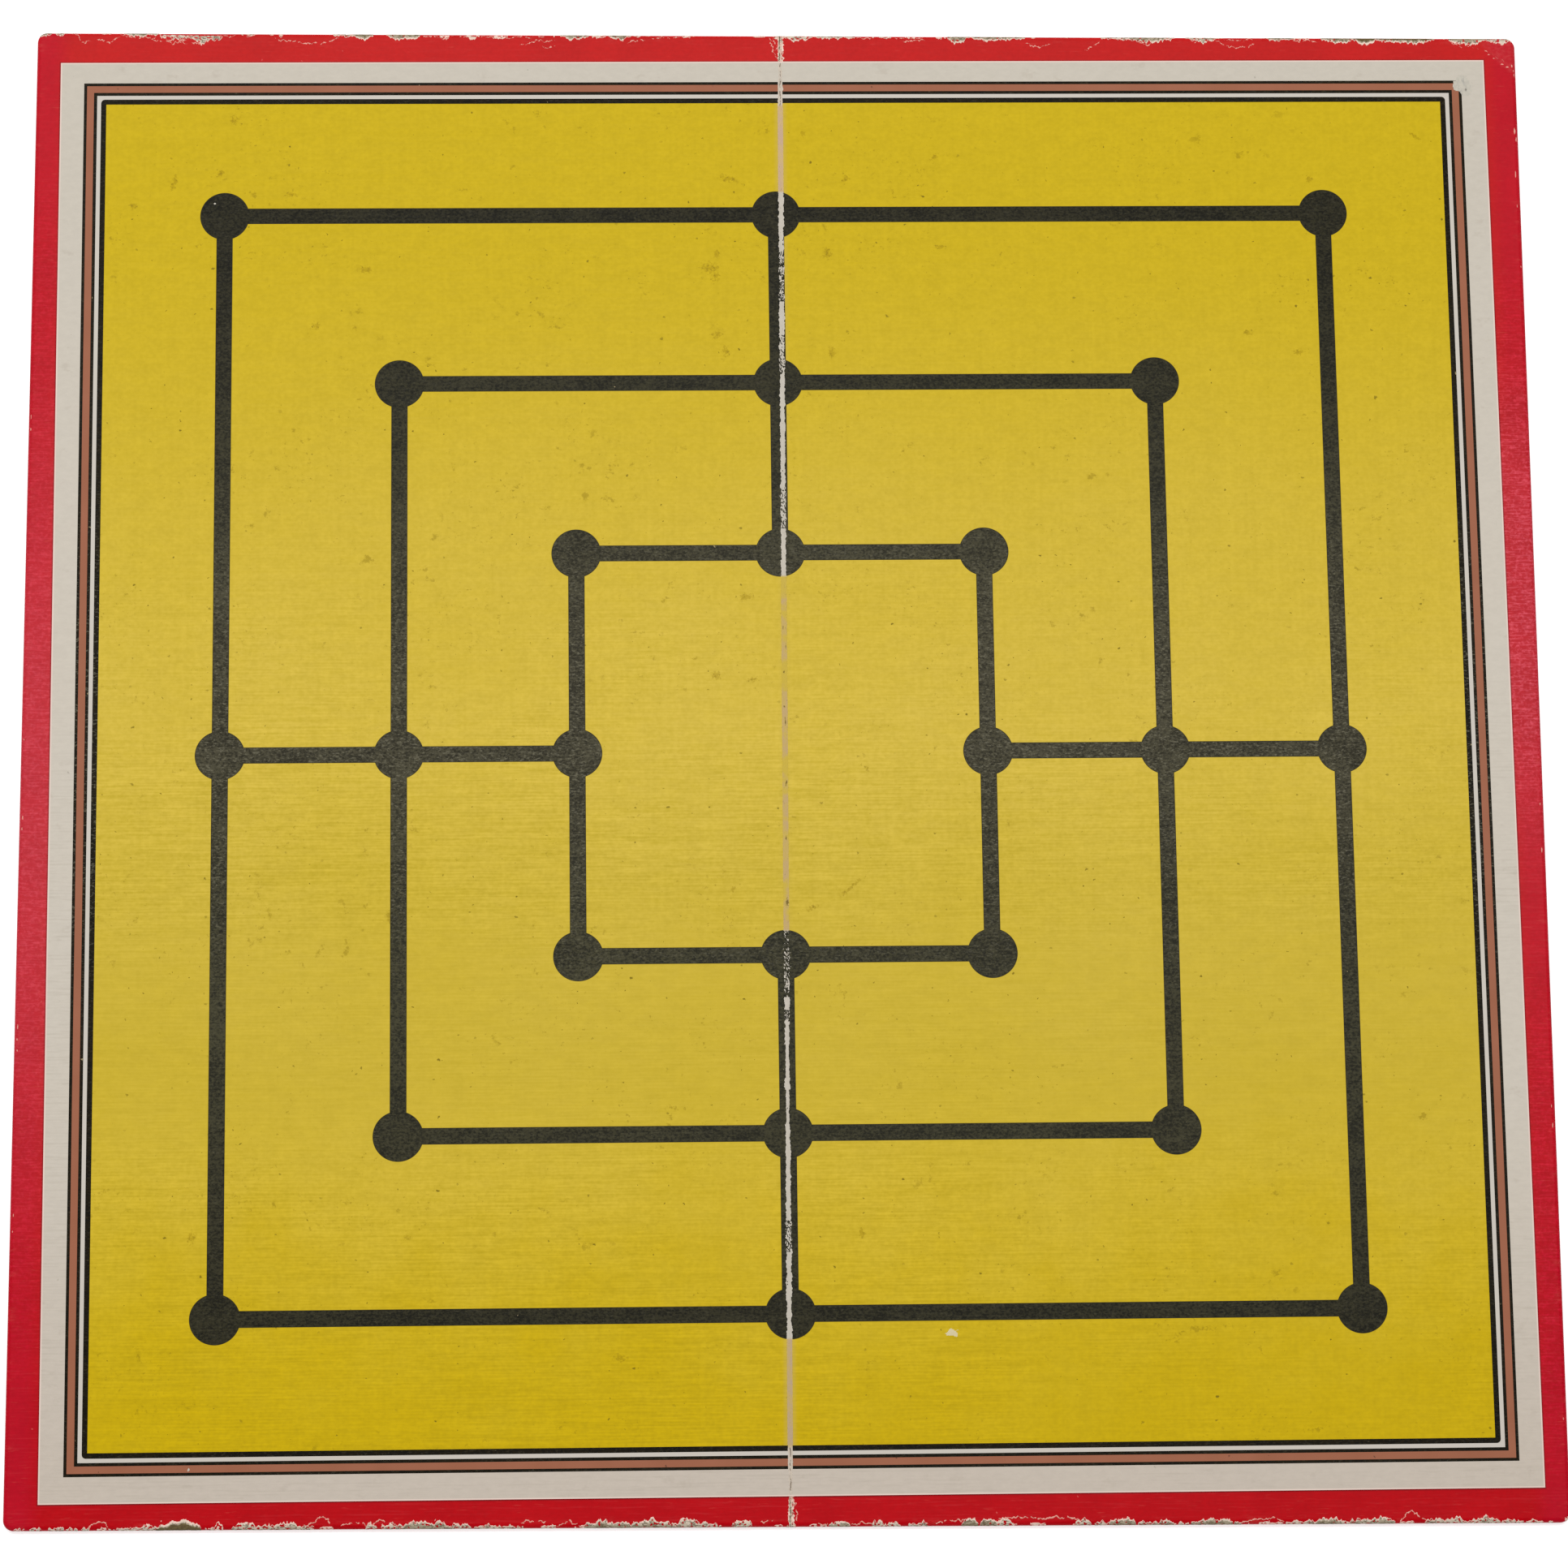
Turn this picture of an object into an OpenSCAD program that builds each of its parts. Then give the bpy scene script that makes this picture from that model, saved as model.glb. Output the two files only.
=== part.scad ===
// Folding double-sided game board. Two greyboard panels are covered from below by a printed
// sheet that wraps the edges, and joined from above by a cloth strip and a printed label.
// The upper face holds nine men's morris, the lower face a chequered field.
// Millimetres. Origin: middle of the fold, on the lower face. +Z up, +X across the fold to
// the right-hand panel, +Y along the fold to the far edge. The board is drawn open and flat.

/* [Board] */
// Width of the open board, across the fold
board_w = 300; // [240:1:360]
// Length of the board, along the fold
board_l = 300; // [240:1:360]
// Thickness of the greyboard panels
core_t = 2.0; // [1.8:0.1:3]
// Radius of the wrapped edge, above and below
edge_r = 0.9; // [0.6:0.1:0.9]
// Radius of the outer corners, seen from above
corner_r = 2.0; // [2:0.1:5]

/* [Back sheet] */
// Thickness of the sheet that wraps the edges
sheet_t = 0.25; // [0.2:0.05:0.4]
// Width of the sheet's turn-in on the upper face
turn_in = 15; // [12:0.5:20]
// Opening of the mitred joint between two turn-ins, under the label
mitre_gap = 0.4; // [0.3:0.1:0.8]
// Cover of the label over the outer end of that joint
mitre_cover = 2.5; // [1:0.5:4]

/* [Fold] */
// Width of the knife cut through the panels and the back sheet
fold_cut = 0.3; // [0.2:0.05:0.6]
// Height of the hinge axis over the label, half the space left between the closed faces
fold_rise = 0.05; // [0.05:0.01:0.1]
// Width of the cloth strip under the label
strip_w = 30; // [20:1:40]
// Thickness of the cloth strip, pressed into the panels
strip_t = 0.15; // [0.1:0.05:0.3]
// Gap from the end of the strip to the turn-in
strip_end_gap = 1; // [0.5:0.5:5]

/* [Label] */
// Width of the red border left in view around the label
border_w = 5.75; // [4:0.25:8]
// Thickness of the label
label_t = 0.25; // [0.2:0.05:0.4]
// Turn of the label, which was glued on slightly askew
label_turn = 0.35; // [-0.5:0.05:0.5]
// Offset of the printing on the label, along the fold
print_y = 0.4; // [-1:0.1:1]
// Width of the line along the fold where the printing is worn off the label
worn_fold = 0.9; // [0.3:0.1:2]
// Thickness of one layer of printing
ink_t = 0.04; // [0.03:0.01:0.05]

/* [Printed frame] */
// Width of the bare paper margin outside the frame
margin_w = 4.75; // [3:0.25:10]
// Width of the outer thin black line
outer_line = 0.6; // [0.4:0.05:1]
// Width of the brown band between the thin lines
brown_band = 1.4; // [0.8:0.1:3]
// Width of the inner thin black line
inner_line = 0.65; // [0.4:0.05:1]
// Width of the bare paper line inside it
bare_line = 0.8; // [0.5:0.05:1.2]
// Width of the heavy black line around the field
heavy_line = 1.05; // [0.6:0.05:1.5]
// Corner radius of the heavy line
heavy_corner_r = 0.8; // [0.4:0.1:2]

/* [Mill diagram] */
// Distance from the edge of the field to the outer square's line
diagram_inset = 24.4; // [15:0.1:30]
// Step from one square to the next, on each side
square_step = 35.05; // [25:0.05:38]
// Width of the lines
mill_line = 3; // [1.5:0.1:5]
// Diameter of the points
point_d = 9.6; // [6:0.1:14]
// Offset of the diagram in the field, across the fold
mill_x = -0.4; // [-1:0.1:1]
// Offset of the diagram in the field, along the fold
mill_y = 0.8; // [-2:0.1:2]

/* [Chequered field] */
// Squares along one side
chequers = 8; // [8:2:10]
// Width of the light line between two dark squares that meet at a corner
chequer_gap = 0.4; // [0.3:0.1:1]

/* [Hidden] */
$fn = 48;
border_t = sheet_t + core_t;
label_top = border_t + label_t;
fold_z = label_top + fold_rise;
colour_t = 2 * ink_t;
ground_t = 3 * ink_t;
outer_in = border_w + margin_w;
brown_in = outer_in + outer_line;
inner_in = brown_in + brown_band;
bare_in = inner_in + inner_line;
heavy_in = bare_in + bare_line;
field_in = heavy_in + heavy_line;
field = [board_w - 2 * field_in, board_l - 2 * field_in];
far = board_w + board_l;
over = 1;
greyboard = [0.50, 0.44, 0.36];
red_print = [0.75, 0.13, 0.15];
cloth = [0.86, 0.82, 0.74];
bare_paper = [0.79, 0.76, 0.70];
yellow_print = [0.80, 0.69, 0.15];
brown_print = [0.62, 0.38, 0.29];
black_print = [0.19, 0.18, 0.15];

echo(open_thickness = label_top, closed_thickness = 2 * fold_z, hinge_axis_height = fold_z);

// Section of the wrapped edge. x = 0 lies corner_r inside the edge, y is the height.
module edge_section(inset) {
    flat = corner_r - edge_r;
    translate([0, inset]) square([flat, border_t - 2 * inset]);
    translate([0, edge_r]) square([corner_r - inset, border_t - 2 * edge_r]);
    for (z = [edge_r, border_t - edge_r])
        translate([flat, z]) circle(edge_r - inset);
}

// One panel with rounded edges, inset from the outer surface. past runs it over the fold.
module panel(inset, past = 0) {
    start = fold_cut / 2 - past;
    x = board_w / 2 - corner_r;
    y = board_l / 2 - corner_r;
    translate([start, -y, inset]) cube([x - start, 2 * y, border_t - 2 * inset]);
    translate([x, y, 0]) rotate([90, 0, 0]) linear_extrude(2 * y) edge_section(inset);
    for (m = [0, 1]) mirror([0, m, 0]) {
        translate([start, y, 0]) rotate([90, 0, 90]) linear_extrude(x - start) edge_section(inset);
        translate([x, y, 0]) rotate_extrude(angle = 90) edge_section(inset);
    }
}

// The right-hand half is drawn, and mirrored for the left-hand one.
module on_side(side) {
    mirror([side < 0 ? 1 : 0, 0, 0]) children();
}

// A layer of paper or ink: a flat shape kept on one side of the fold, with a thickness.
module layer(side, z, t, cut = 0) {
    translate([0, 0, z]) linear_extrude(t) intersection() {
        children();
        on_side(side) translate([cut / 2, -far / 2]) square([far, far]);
    }
}

// Outline that lies the same distance inside the board's edge all round.
module outline(inset, r = 0) {
    w = board_w - 2 * inset;
    l = board_l - 2 * inset;
    if (r > 0) {
        square([w, l - 2 * r], center = true);
        square([w - 2 * r, l], center = true);
        for (x = [-1, 1], y = [-1, 1])
            translate([x * (w / 2 - r), y * (l / 2 - r)]) circle(r);
    } else {
        square([w, l], center = true);
    }
}

module brown_area() {
    difference() {
        outline(outer_in);
        outline(bare_in);
    }
}

module field_area() {
    outline(heavy_in, heavy_corner_r);
}

module thin_lines() {
    for (line = [[outer_in, brown_in], [inner_in, bare_in]])
        difference() {
            outline(line[0]);
            outline(line[1]);
        }
}

module frame_lines() {
    thin_lines();
    difference() {
        field_area();
        outline(field_in);
    }
}

// Nine men's morris: three squares in one another, joined at the middle of each side,
// with a point at every corner and joint.
module mill_diagram() {
    half = field / 2 - [diagram_inset, diagram_inset];
    for (k = [0:2]) {
        w = half[0] - k * square_step;
        l = half[1] - k * square_step;
        difference() {
            square([2 * w + mill_line, 2 * l + mill_line], center = true);
            square([2 * w - mill_line, 2 * l - mill_line], center = true);
        }
        for (x = [-1:1], y = [-1:1])
            if (x != 0 || y != 0) translate([x * w, y * l]) circle(d = point_d);
    }
    for (m = [0, 1]) {
        mirror([m, 0]) translate([half[0] - 2 * square_step, -mill_line / 2])
            square([2 * square_step, mill_line]);
        mirror([0, m]) translate([-mill_line / 2, half[1] - 2 * square_step])
            square([mill_line, 2 * square_step]);
    }
}

module label_black_area() {
    frame_lines();
    translate([mill_x, mill_y]) mill_diagram();
}

module chequers_dark() {
    step = field / chequers;
    for (i = [0:chequers - 1], j = [0:chequers - 1])
        if ((i + j) % 2 == 0)
            translate([(i + 0.5) * step[0] - field[0] / 2, (j + 0.5) * step[1] - field[1] / 2])
                square([step[0] - chequer_gap, step[1] - chequer_gap], center = true);
}

module back_black_area() {
    frame_lines();
    chequers_dark();
}

// Greyboard panel: its edge is pressed down by the turn-in, its middle by the cloth strip.
module core(side) {
    color(greyboard) on_side(side) difference() {
        union() {
            panel(sheet_t);
            translate([fold_cut / 2, turn_in - board_l / 2, sheet_t])
                cube([board_w / 2 - turn_in - fold_cut / 2, board_l - 2 * turn_in, core_t]);
        }
        strip_block(over);
    }
}

module strip_block(past = 0) {
    half_l = board_l / 2 - turn_in - strip_end_gap;
    translate([-past, -half_l, border_t - strip_t])
        cube([strip_w / 2 + past, 2 * half_l, strip_t + past]);
}

// Back sheet: covers the lower face, wraps three edges and is turned in on the upper face.
module back_sheet(side) {
    inner_l = board_l - 2 * turn_in;
    color(red_print) on_side(side) difference() {
        panel(0);
        panel(sheet_t, over);
        translate([-over, -inner_l / 2, sheet_t])
            cube([board_w / 2 - turn_in + over, inner_l, border_t]);
        for (m = [0, 1]) mirror([0, m, 0]) turn_in_mitre();
        translate([0, 0, -over]) linear_extrude(over + ground_t) outline(border_w);
    }
}

// Slit between two turn-ins at a corner. It stays under the label.
module turn_in_mitre() {
    slit = sqrt(2) * (turn_in - border_w - mitre_cover);
    translate([board_w / 2 - turn_in, board_l / 2 - turn_in, border_t - sheet_t]) rotate(45)
        translate([-over, -mitre_gap / 2, 0]) cube([slit + over, mitre_gap, sheet_t + over]);
}

module hinge_strip(side) {
    color(cloth) on_side(side) strip_block();
}

// The label is bare paper, sunk where a colour is printed and worn bare along the fold.
module label(side) {
    color(bare_paper) difference() {
        layer(side, border_t, label_t) rotate(label_turn) outline(border_w);
        layer(side, label_top - colour_t, colour_t + over, worn_fold) on_label() {
            brown_area();
            field_area();
        }
    }
}

module on_label() {
    rotate(label_turn) translate([0, print_y]) children();
}

// Yellow film of the upper face, with the black lines printed over it.
module label_yellow(side) {
    color(yellow_print) difference() {
        layer(side, label_top - colour_t, colour_t, worn_fold) on_label() field_area();
        layer(side, label_top - ink_t, ink_t + over) on_label() label_black_area();
    }
}

module label_brown(side) {
    color(brown_print) difference() {
        layer(side, label_top - colour_t, colour_t, worn_fold) on_label() brown_area();
        layer(side, label_top - ink_t, ink_t + over) on_label() thin_lines();
    }
}

module label_black(side) {
    color(black_print) layer(side, label_top - ink_t, ink_t, worn_fold)
        on_label() label_black_area();
}

// Unprinted middle of the back sheet, sunk in the same way on the lower face.
module back_ground(side) {
    color(bare_paper) difference() {
        layer(side, 0, ground_t, fold_cut) outline(border_w);
        layer(side, -over, colour_t + over, fold_cut) {
            brown_area();
            field_area();
        }
    }
}

module back_yellow(side) {
    color(yellow_print) difference() {
        layer(side, 0, colour_t, fold_cut) field_area();
        layer(side, -over, ink_t + over, fold_cut) back_black_area();
    }
}

module back_brown(side) {
    color(brown_print) difference() {
        layer(side, 0, colour_t, fold_cut) brown_area();
        layer(side, -over, ink_t + over, fold_cut) thin_lines();
    }
}

module back_black(side) {
    color(black_print) layer(side, 0, ink_t, fold_cut) back_black_area();
}

core(-1);  // core_left
core(1);  // core_right
back_sheet(-1);  // back_sheet_left
back_sheet(1);  // back_sheet_right
hinge_strip(-1);  // hinge_strip_left
hinge_strip(1);  // hinge_strip_right
label(-1);  // label_left
label(1);  // label_right
label_yellow(-1);  // label_yellow_left
label_yellow(1);  // label_yellow_right
label_brown(-1);  // label_brown_left
label_brown(1);  // label_brown_right
label_black(-1);  // label_black_left
label_black(1);  // label_black_right
back_ground(-1);  // back_ground_left
back_ground(1);  // back_ground_right
back_yellow(-1);  // back_yellow_left
back_yellow(1);  // back_yellow_right
back_brown(-1);  // back_brown_left
back_brown(1);  // back_brown_right
back_black(-1);  // back_black_left
back_black(1);  // back_black_right
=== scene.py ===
# Folding game board: the looks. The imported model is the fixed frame. This file gives its nodes
# their paper, printing, cloth and greyboard, and adds the worn fold and the torn edges.
import math

import bpy
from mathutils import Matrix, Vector, noise


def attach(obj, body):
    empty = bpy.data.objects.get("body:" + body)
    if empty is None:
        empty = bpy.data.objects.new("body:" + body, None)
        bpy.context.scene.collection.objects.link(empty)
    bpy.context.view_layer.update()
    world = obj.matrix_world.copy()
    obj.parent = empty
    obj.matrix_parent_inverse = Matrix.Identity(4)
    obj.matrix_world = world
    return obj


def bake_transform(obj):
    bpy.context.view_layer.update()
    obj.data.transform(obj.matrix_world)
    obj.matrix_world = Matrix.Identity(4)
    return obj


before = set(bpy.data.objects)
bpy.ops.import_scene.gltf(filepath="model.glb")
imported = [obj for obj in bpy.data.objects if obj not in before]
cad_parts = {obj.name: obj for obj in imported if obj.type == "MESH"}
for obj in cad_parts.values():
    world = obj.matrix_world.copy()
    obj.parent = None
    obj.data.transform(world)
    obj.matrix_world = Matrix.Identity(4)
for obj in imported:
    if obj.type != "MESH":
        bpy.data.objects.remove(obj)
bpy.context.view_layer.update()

MM = 0.001

# Sizes in millimetres, the same as in the part's source.
BOARD_HALF = 150.0
BORDER_TOP = 2.25
LABEL_TOP = 2.5
EDGE_R = 0.9
CORNER_R = 2.0
BORDER_W = 5.75
LABEL_HALF = 144.25
FIELD_HALF = 135.0
LABEL_TURN = 0.35
PRINT_Y = 0.4
FOLD_CUT = 0.3
STRIP_HALF = 15.0
CONNECTOR_NEAR = 35.7
CONNECTOR_FAR = 115.4
CONNECTOR_Y = 1.2
MILL_X = -0.4
MILL_Y = 0.8
MILL_HALF = 110.6
MILL_STEP = 35.05
MILL_LINE_HALF = 1.5
MILL_POINT_R = 4.8

# Sizes in millimetres that only the looks use. The worn paper stops short of the label's ends.
LINEN_PITCH = 0.645
CLOTH_PITCH = 0.5
FOLD_WEAR_END = 143.9
TORN_THICK = 0.06
LIP_THICK = 0.05
CRACK_THICK = 0.04
SKIN_THICK = 0.03

# The two ends of the board, as the sign of y there.
FAR_END = 1
NEAR_END = -1

# Camera and light. Places and sizes are in metres, turns in degrees, powers in watts.
CAMERA_PLACE = (-0.0322, -0.2034, 0.97165)
CAMERA_TURN = (11.5637, -1.8026, -0.4167)
CAMERA_LENS = 115.48
KEY_LIGHT = ((-0.75, 0.8, 1.5), (1.2, 1.2), 8.5)
SHEEN_LIGHT = ((0.12, 0.36, 1.57), (0.95, 0.34), 9.6)
ROOM_LIGHT = 0.44
FLOOR_WIDTH = 8.0
FLOOR_DROP = 0.00004
FLOOR_GLOW = 0.6

# Torn places along the two ends of the board: start, end and reach inwards in millimetres,
# and how deep the tear goes, from 0, torn printing, to 1, bare greyboard. A fifth number is
# the distance from the edge at which the tear stops, where the red paper outside it stayed.
FAR_TEARS = [
    (-149.8, -147.0, 1.0, 0.6), (-147.0, -142.4, 0.5, 0.35), (-133.5, -125.5, 0.83, 0.75),
    (-125.5, -118.9, 1.6, 0.22, 0.5), (-119.6, -112.4, 1.9, 0.34, 0.6), (-109.0, -105.7, 0.5, 0.2),
    (-101.5, -100.4, 0.83, 0.1), (-90.5, -85.8, 0.67, 0.3), (-86.5, -82.2, 1.0, 0.7),
    (-80.0, -72.6, 1.25, 0.65), (-69.3, -66.6, 1.0, 0.1, 0.3), (-63.8, -60.7, 0.9, 0.15, 0.25),
    (-58.5, -54.9, 0.83, 0.1, 0.3), (-49.4, -44.5, 0.7, 0.1, 0.3), (-45.0, -38.5, 1.0, 0.6),
    (-38.5, -35.2, 0.83, 0.2), (-34.9, -29.9, 1.0, 0.55), (-29.9, -26.8, 0.67, 0.15),
    (-20.0, -18.0, 0.5, 0.1), (-1.5, -0.2, 0.83, 0.2), (0.5, 6.8, 1.17, 0.35),
    (6.8, 15.4, 0.75, 0.45), (18.7, 23.6, 0.62, 0.2, 0.2), (25.0, 27.9, 0.6, 0.1, 0.25),
    (31.6, 34.2, 0.7, 0.1, 0.3), (33.9, 37.9, 1.42, 0.55), (37.9, 50.1, 1.0, 0.7),
    (65.0, 71.6, 0.83, 0.4), (70.9, 79.2, 1.33, 0.6), (78.6, 80.5, 0.83, 0.5),
    (82.5, 89.8, 1.0, 0.45), (98.7, 104.7, 0.92, 0.65), (104.7, 108.0, 0.5, 0.1),
    (110.1, 117.9, 1.17, 0.7), (117.3, 121.6, 1.67, 1.0), (120.9, 133.8, 1.25, 0.8),
    (136.3, 144.4, 1.5, 0.6), (143.7, 149.7, 1.33, 0.35),
]
NEAR_TEARS = [
    (-147.2, -145.3, 0.32, 0.1), (-145.3, -139.7, 0.41, 0.25), (-141.0, -138.2, 0.63, 0.3),
    (-138.2, -133.5, 0.41, 0.2), (-130.2, -123.2, 0.48, 0.25), (-123.8, -120.7, 1.11, 0.3),
    (-121.2, -114.5, 1.3, 0.95), (-119.6, -112.3, 1.8, 1.0), (-112.4, -109.8, 0.48, 0.2),
    (-109.8, -108.1, 1.11, 0.1), (-106.7, -98.9, 1.19, 0.4), (-99.5, -91.7, 1.19, 0.4),
    (-91.6, -90.8, 0.63, 0.1),
    (-81.1, -78.9, 1.03, 0.3), (-78.6, -73.6, 1.19, 0.35), (-74.3, -64.6, 1.35, 0.55),
    (-64.9, -60.7, 0.79, 0.35), (-63.0, -61.2, 1.27, 0.3), (-61.0, -50.9, 0.54, 0.3),
    (-47.8, -44.2, 0.57, 0.2), (-39.5, -30.3, 1.27, 0.6), (-30.9, -22.2, 1.27, 0.45),
    (-22.8, -15.7, 1.51, 0.4), (-16.6, -13.2, 0.63, 0.25), (-11.3, -7.2, 1.11, 0.35),
    (5.1, 7.2, 0.32, 0.1), (7.1, 11.8, 0.87, 0.55), (15.5, 18.0, 1.11, 0.25),
    (17.4, 20.8, 0.71, 0.3), (22.4, 26.7, 0.56, 0.35), (32.6, 36.1, 1.35, 0.75),
    (36.1, 40.4, 1.03, 0.6), (39.2, 42.3, 1.43, 0.3), (54.5, 57.9, 1.03, 0.35),
    (57.3, 61.6, 0.41, 0.2), (61.0, 66.3, 1.35, 0.6), (66.0, 70.1, 0.48, 0.25),
    (69.7, 73.5, 0.95, 0.4), (73.2, 77.2, 0.4, 0.2), (76.6, 86.6, 0.95, 0.55),
    (94.7, 99.0, 0.51, 0.25), (98.7, 101.2, 0.48, 0.3), (100.6, 105.9, 1.19, 0.65),
    (105.6, 107.8, 0.48, 0.2), (107.1, 111.5, 1.03, 0.4), (111.2, 116.2, 1.11, 0.5),
    (121.8, 130.2, 0.87, 0.4), (127.1, 129.3, 1.27, 0.3), (129.9, 131.8, 0.48, 0.2),
    (131.1, 136.4, 1.27, 0.4), (136.1, 141.1, 0.57, 0.3), (140.8, 147.7, 0.38, 0.2),
]

# Cracks in the red paper near those ends: each a line of places along the end, with their
# distance in from the edge.
FAR_CRACKS = [
    [(-72.4, 0.4), (-71.2, 0.65), (-70.0, 0.45), (-68.9, 0.75)],
    [(-66.6, 0.5), (-65.4, 0.75), (-64.2, 0.55), (-62.9, 0.8)],
    [(-60.6, 0.55), (-59.2, 0.5), (-57.6, 0.8), (-55.6, 0.7), (-54.0, 0.85), (-52.2, 0.6),
     (-50.2, 0.75)],
    [(-26.0, 0.8), (-24.2, 0.55), (-22.4, 0.75), (-20.0, 0.5)],
    [(15.6, 0.45), (17.2, 0.6), (18.8, 0.45)], [(23.4, 0.55), (25.2, 0.4), (27.2, 0.6), (29.4, 0.5)],
    [(73.0, 1.5), (75.0, 1.6), (76.4, 1.3)], [(90.4, 0.55), (92.2, 0.75), (94.6, 0.6), (97.0, 0.7)],
    [(-125.0, 0.95), (-123.8, 1.5), (-122.5, 1.15), (-121.3, 1.75), (-119.6, 1.4)],
    [(-121.6, 0.45), (-120.4, 0.9), (-119.0, 0.5), (-117.4, 1.0), (-116.2, 0.6)],
    [(-119.0, 2.0), (-117.3, 2.3), (-115.9, 1.9), (-114.6, 1.2), (-113.0, 0.5)],
    [(-2.0, 0.6), (-1.8, 1.8), (-1.3, 3.2), (-0.75, 4.9)],
    [(-1.0, 0.5), (-1.3, 1.5), (-0.6, 2.5), (-0.9, 3.4)],
    [(-142.4, 0.25), (-141.6, 0.94), (-141.1, 2.12), (-140.4, 2.31), (-139.4, 1.67)],
    [(-138.1, 1.54), (-136.4, 1.75), (-135.3, 2.45), (-134.5, 1.47), (-133.3, 0.84)],
    [(-125.5, 0.25), (-124.4, 1.18), (-123.2, 1.78)],
    [(-109.0, 0.42), (-107.0, 0.77), (-105.8, 0.28)],
    [(-102.2, 0.82), (-101.2, 1.66), (-99.7, 1.51), (-98.1, 1.85), (-95.1, 2.2), (-92.4, 2.05),
     (-90.8, 1.56), (-89.1, 0.73)],
    [(-68.5, 0.17), (-67.1, 1.0), (-68.3, 1.17), (-68.8, 0.5)],
    [(-52.8, 2.37), (-50.8, 2.04), (-49.4, 1.38), (-47.5, 1.56), (-45.5, 1.4)],
    [(-48.1, 2.56), (-46.8, 2.9), (-45.5, 2.4)],
    [(-30.9, 2.02), (-29.6, 1.35), (-27.3, 1.17)],
    [(25.0, 1.24), (27.3, 1.06), (29.6, 1.05)],
    [(50.1, 1.4), (51.4, 2.22), (53.4, 2.2), (55.1, 1.68)],
    [(62.0, 2.92), (63.0, 2.57), (64.3, 1.88), (65.0, 1.04)],
    [(88.8, 0.67), (90.1, 1.5), (91.5, 2.17), (93.4, 2.33), (95.4, 2.17), (96.7, 1.5)],
    [(104.4, 0.67), (106.0, 1.0), (107.7, 0.66), (109.6, 1.15)],
    [(136.8, 0.75), (137.8, 1.42), (139.2, 1.88)], [(140.1, 1.8), (141.5, 1.98)],
    [(142.2, 2.15), (142.9, 2.5)], [(143.5, 2.6), (144.3, 3.1)], [(144.8, 3.45), (145.3, 3.6)],
    [(145.9, 4.0), (146.6, 4.3)], [(147.1, 4.6), (147.6, 5.2)],
    [(-133.2, 0.5), (-132.0, 1.1), (-130.9, 0.7), (-129.8, 1.25), (-128.4, 0.85), (-127.2, 1.3),
     (-126.1, 0.9)],
    [(-124.6, 0.4), (-123.1, 1.2), (-122.0, 0.7), (-120.8, 1.45), (-119.5, 0.95), (-118.3, 1.7),
     (-117.0, 1.2), (-115.8, 1.6), (-114.4, 0.9)],
    [(-127.0, 1.6), (-125.6, 1.95), (-124.2, 1.7), (-122.7, 2.2), (-121.3, 1.9), (-119.8, 2.4)],
    [(-112.6, 0.5), (-111.4, 0.95), (-110.1, 0.6)],
]
NEAR_CRACKS = [
    [(-133.8, 0.24), (-133.2, 1.19), (-131.9, 1.51), (-130.7, 1.35), (-130.0, 0.56)],
    [(-92.2, 0.83), (-90.8, 1.45), (-89.7, 2.24), (-88.6, 1.91), (-87.7, 0.95)],
    [(-85.8, 0.78), (-83.9, 1.08), (-82.0, 1.07), (-80.8, 0.58)],
    [(-79.7, 0.41), (-79.1, 1.36), (-78.0, 1.67), (-76.8, 1.18)],
    [(-51.5, 0.91), (-50.3, 1.52), (-48.7, 1.18), (-46.8, 1.32)],
    [(-44.5, 0.19), (-43.4, 0.97), (-42.6, 1.44), (-41.5, 0.79), (-40.3, 0.46), (-39.0, 0.61)],
    [(5.2, 0.51), (7.1, 0.56)],
    [(11.6, 0.34), (13.9, 0.79), (15.5, 0.46)],
    [(27.7, 0.56), (29.5, 1.03), (31.4, 0.86), (33.3, 1.01)],
    [(39.8, 1.29), (42.6, 1.6), (45.4, 1.58), (48.2, 1.25), (51.3, 1.55), (55.1, 1.06)],
    [(86.3, 0.37), (88.4, 0.82), (90.6, 0.8), (92.5, 1.25), (94.7, 0.6)],
    [(116.8, 0.2), (118.0, 1.61), (119.1, 2.23), (120.2, 1.58), (121.2, 0.93), (122.4, 0.59)],
    [(-5.7, 0.79), (-3.4, 1.11)],
    [(1.0, 1.1), (1.25, 2.4), (0.95, 3.6), (1.1, 5.0)],
]

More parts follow.
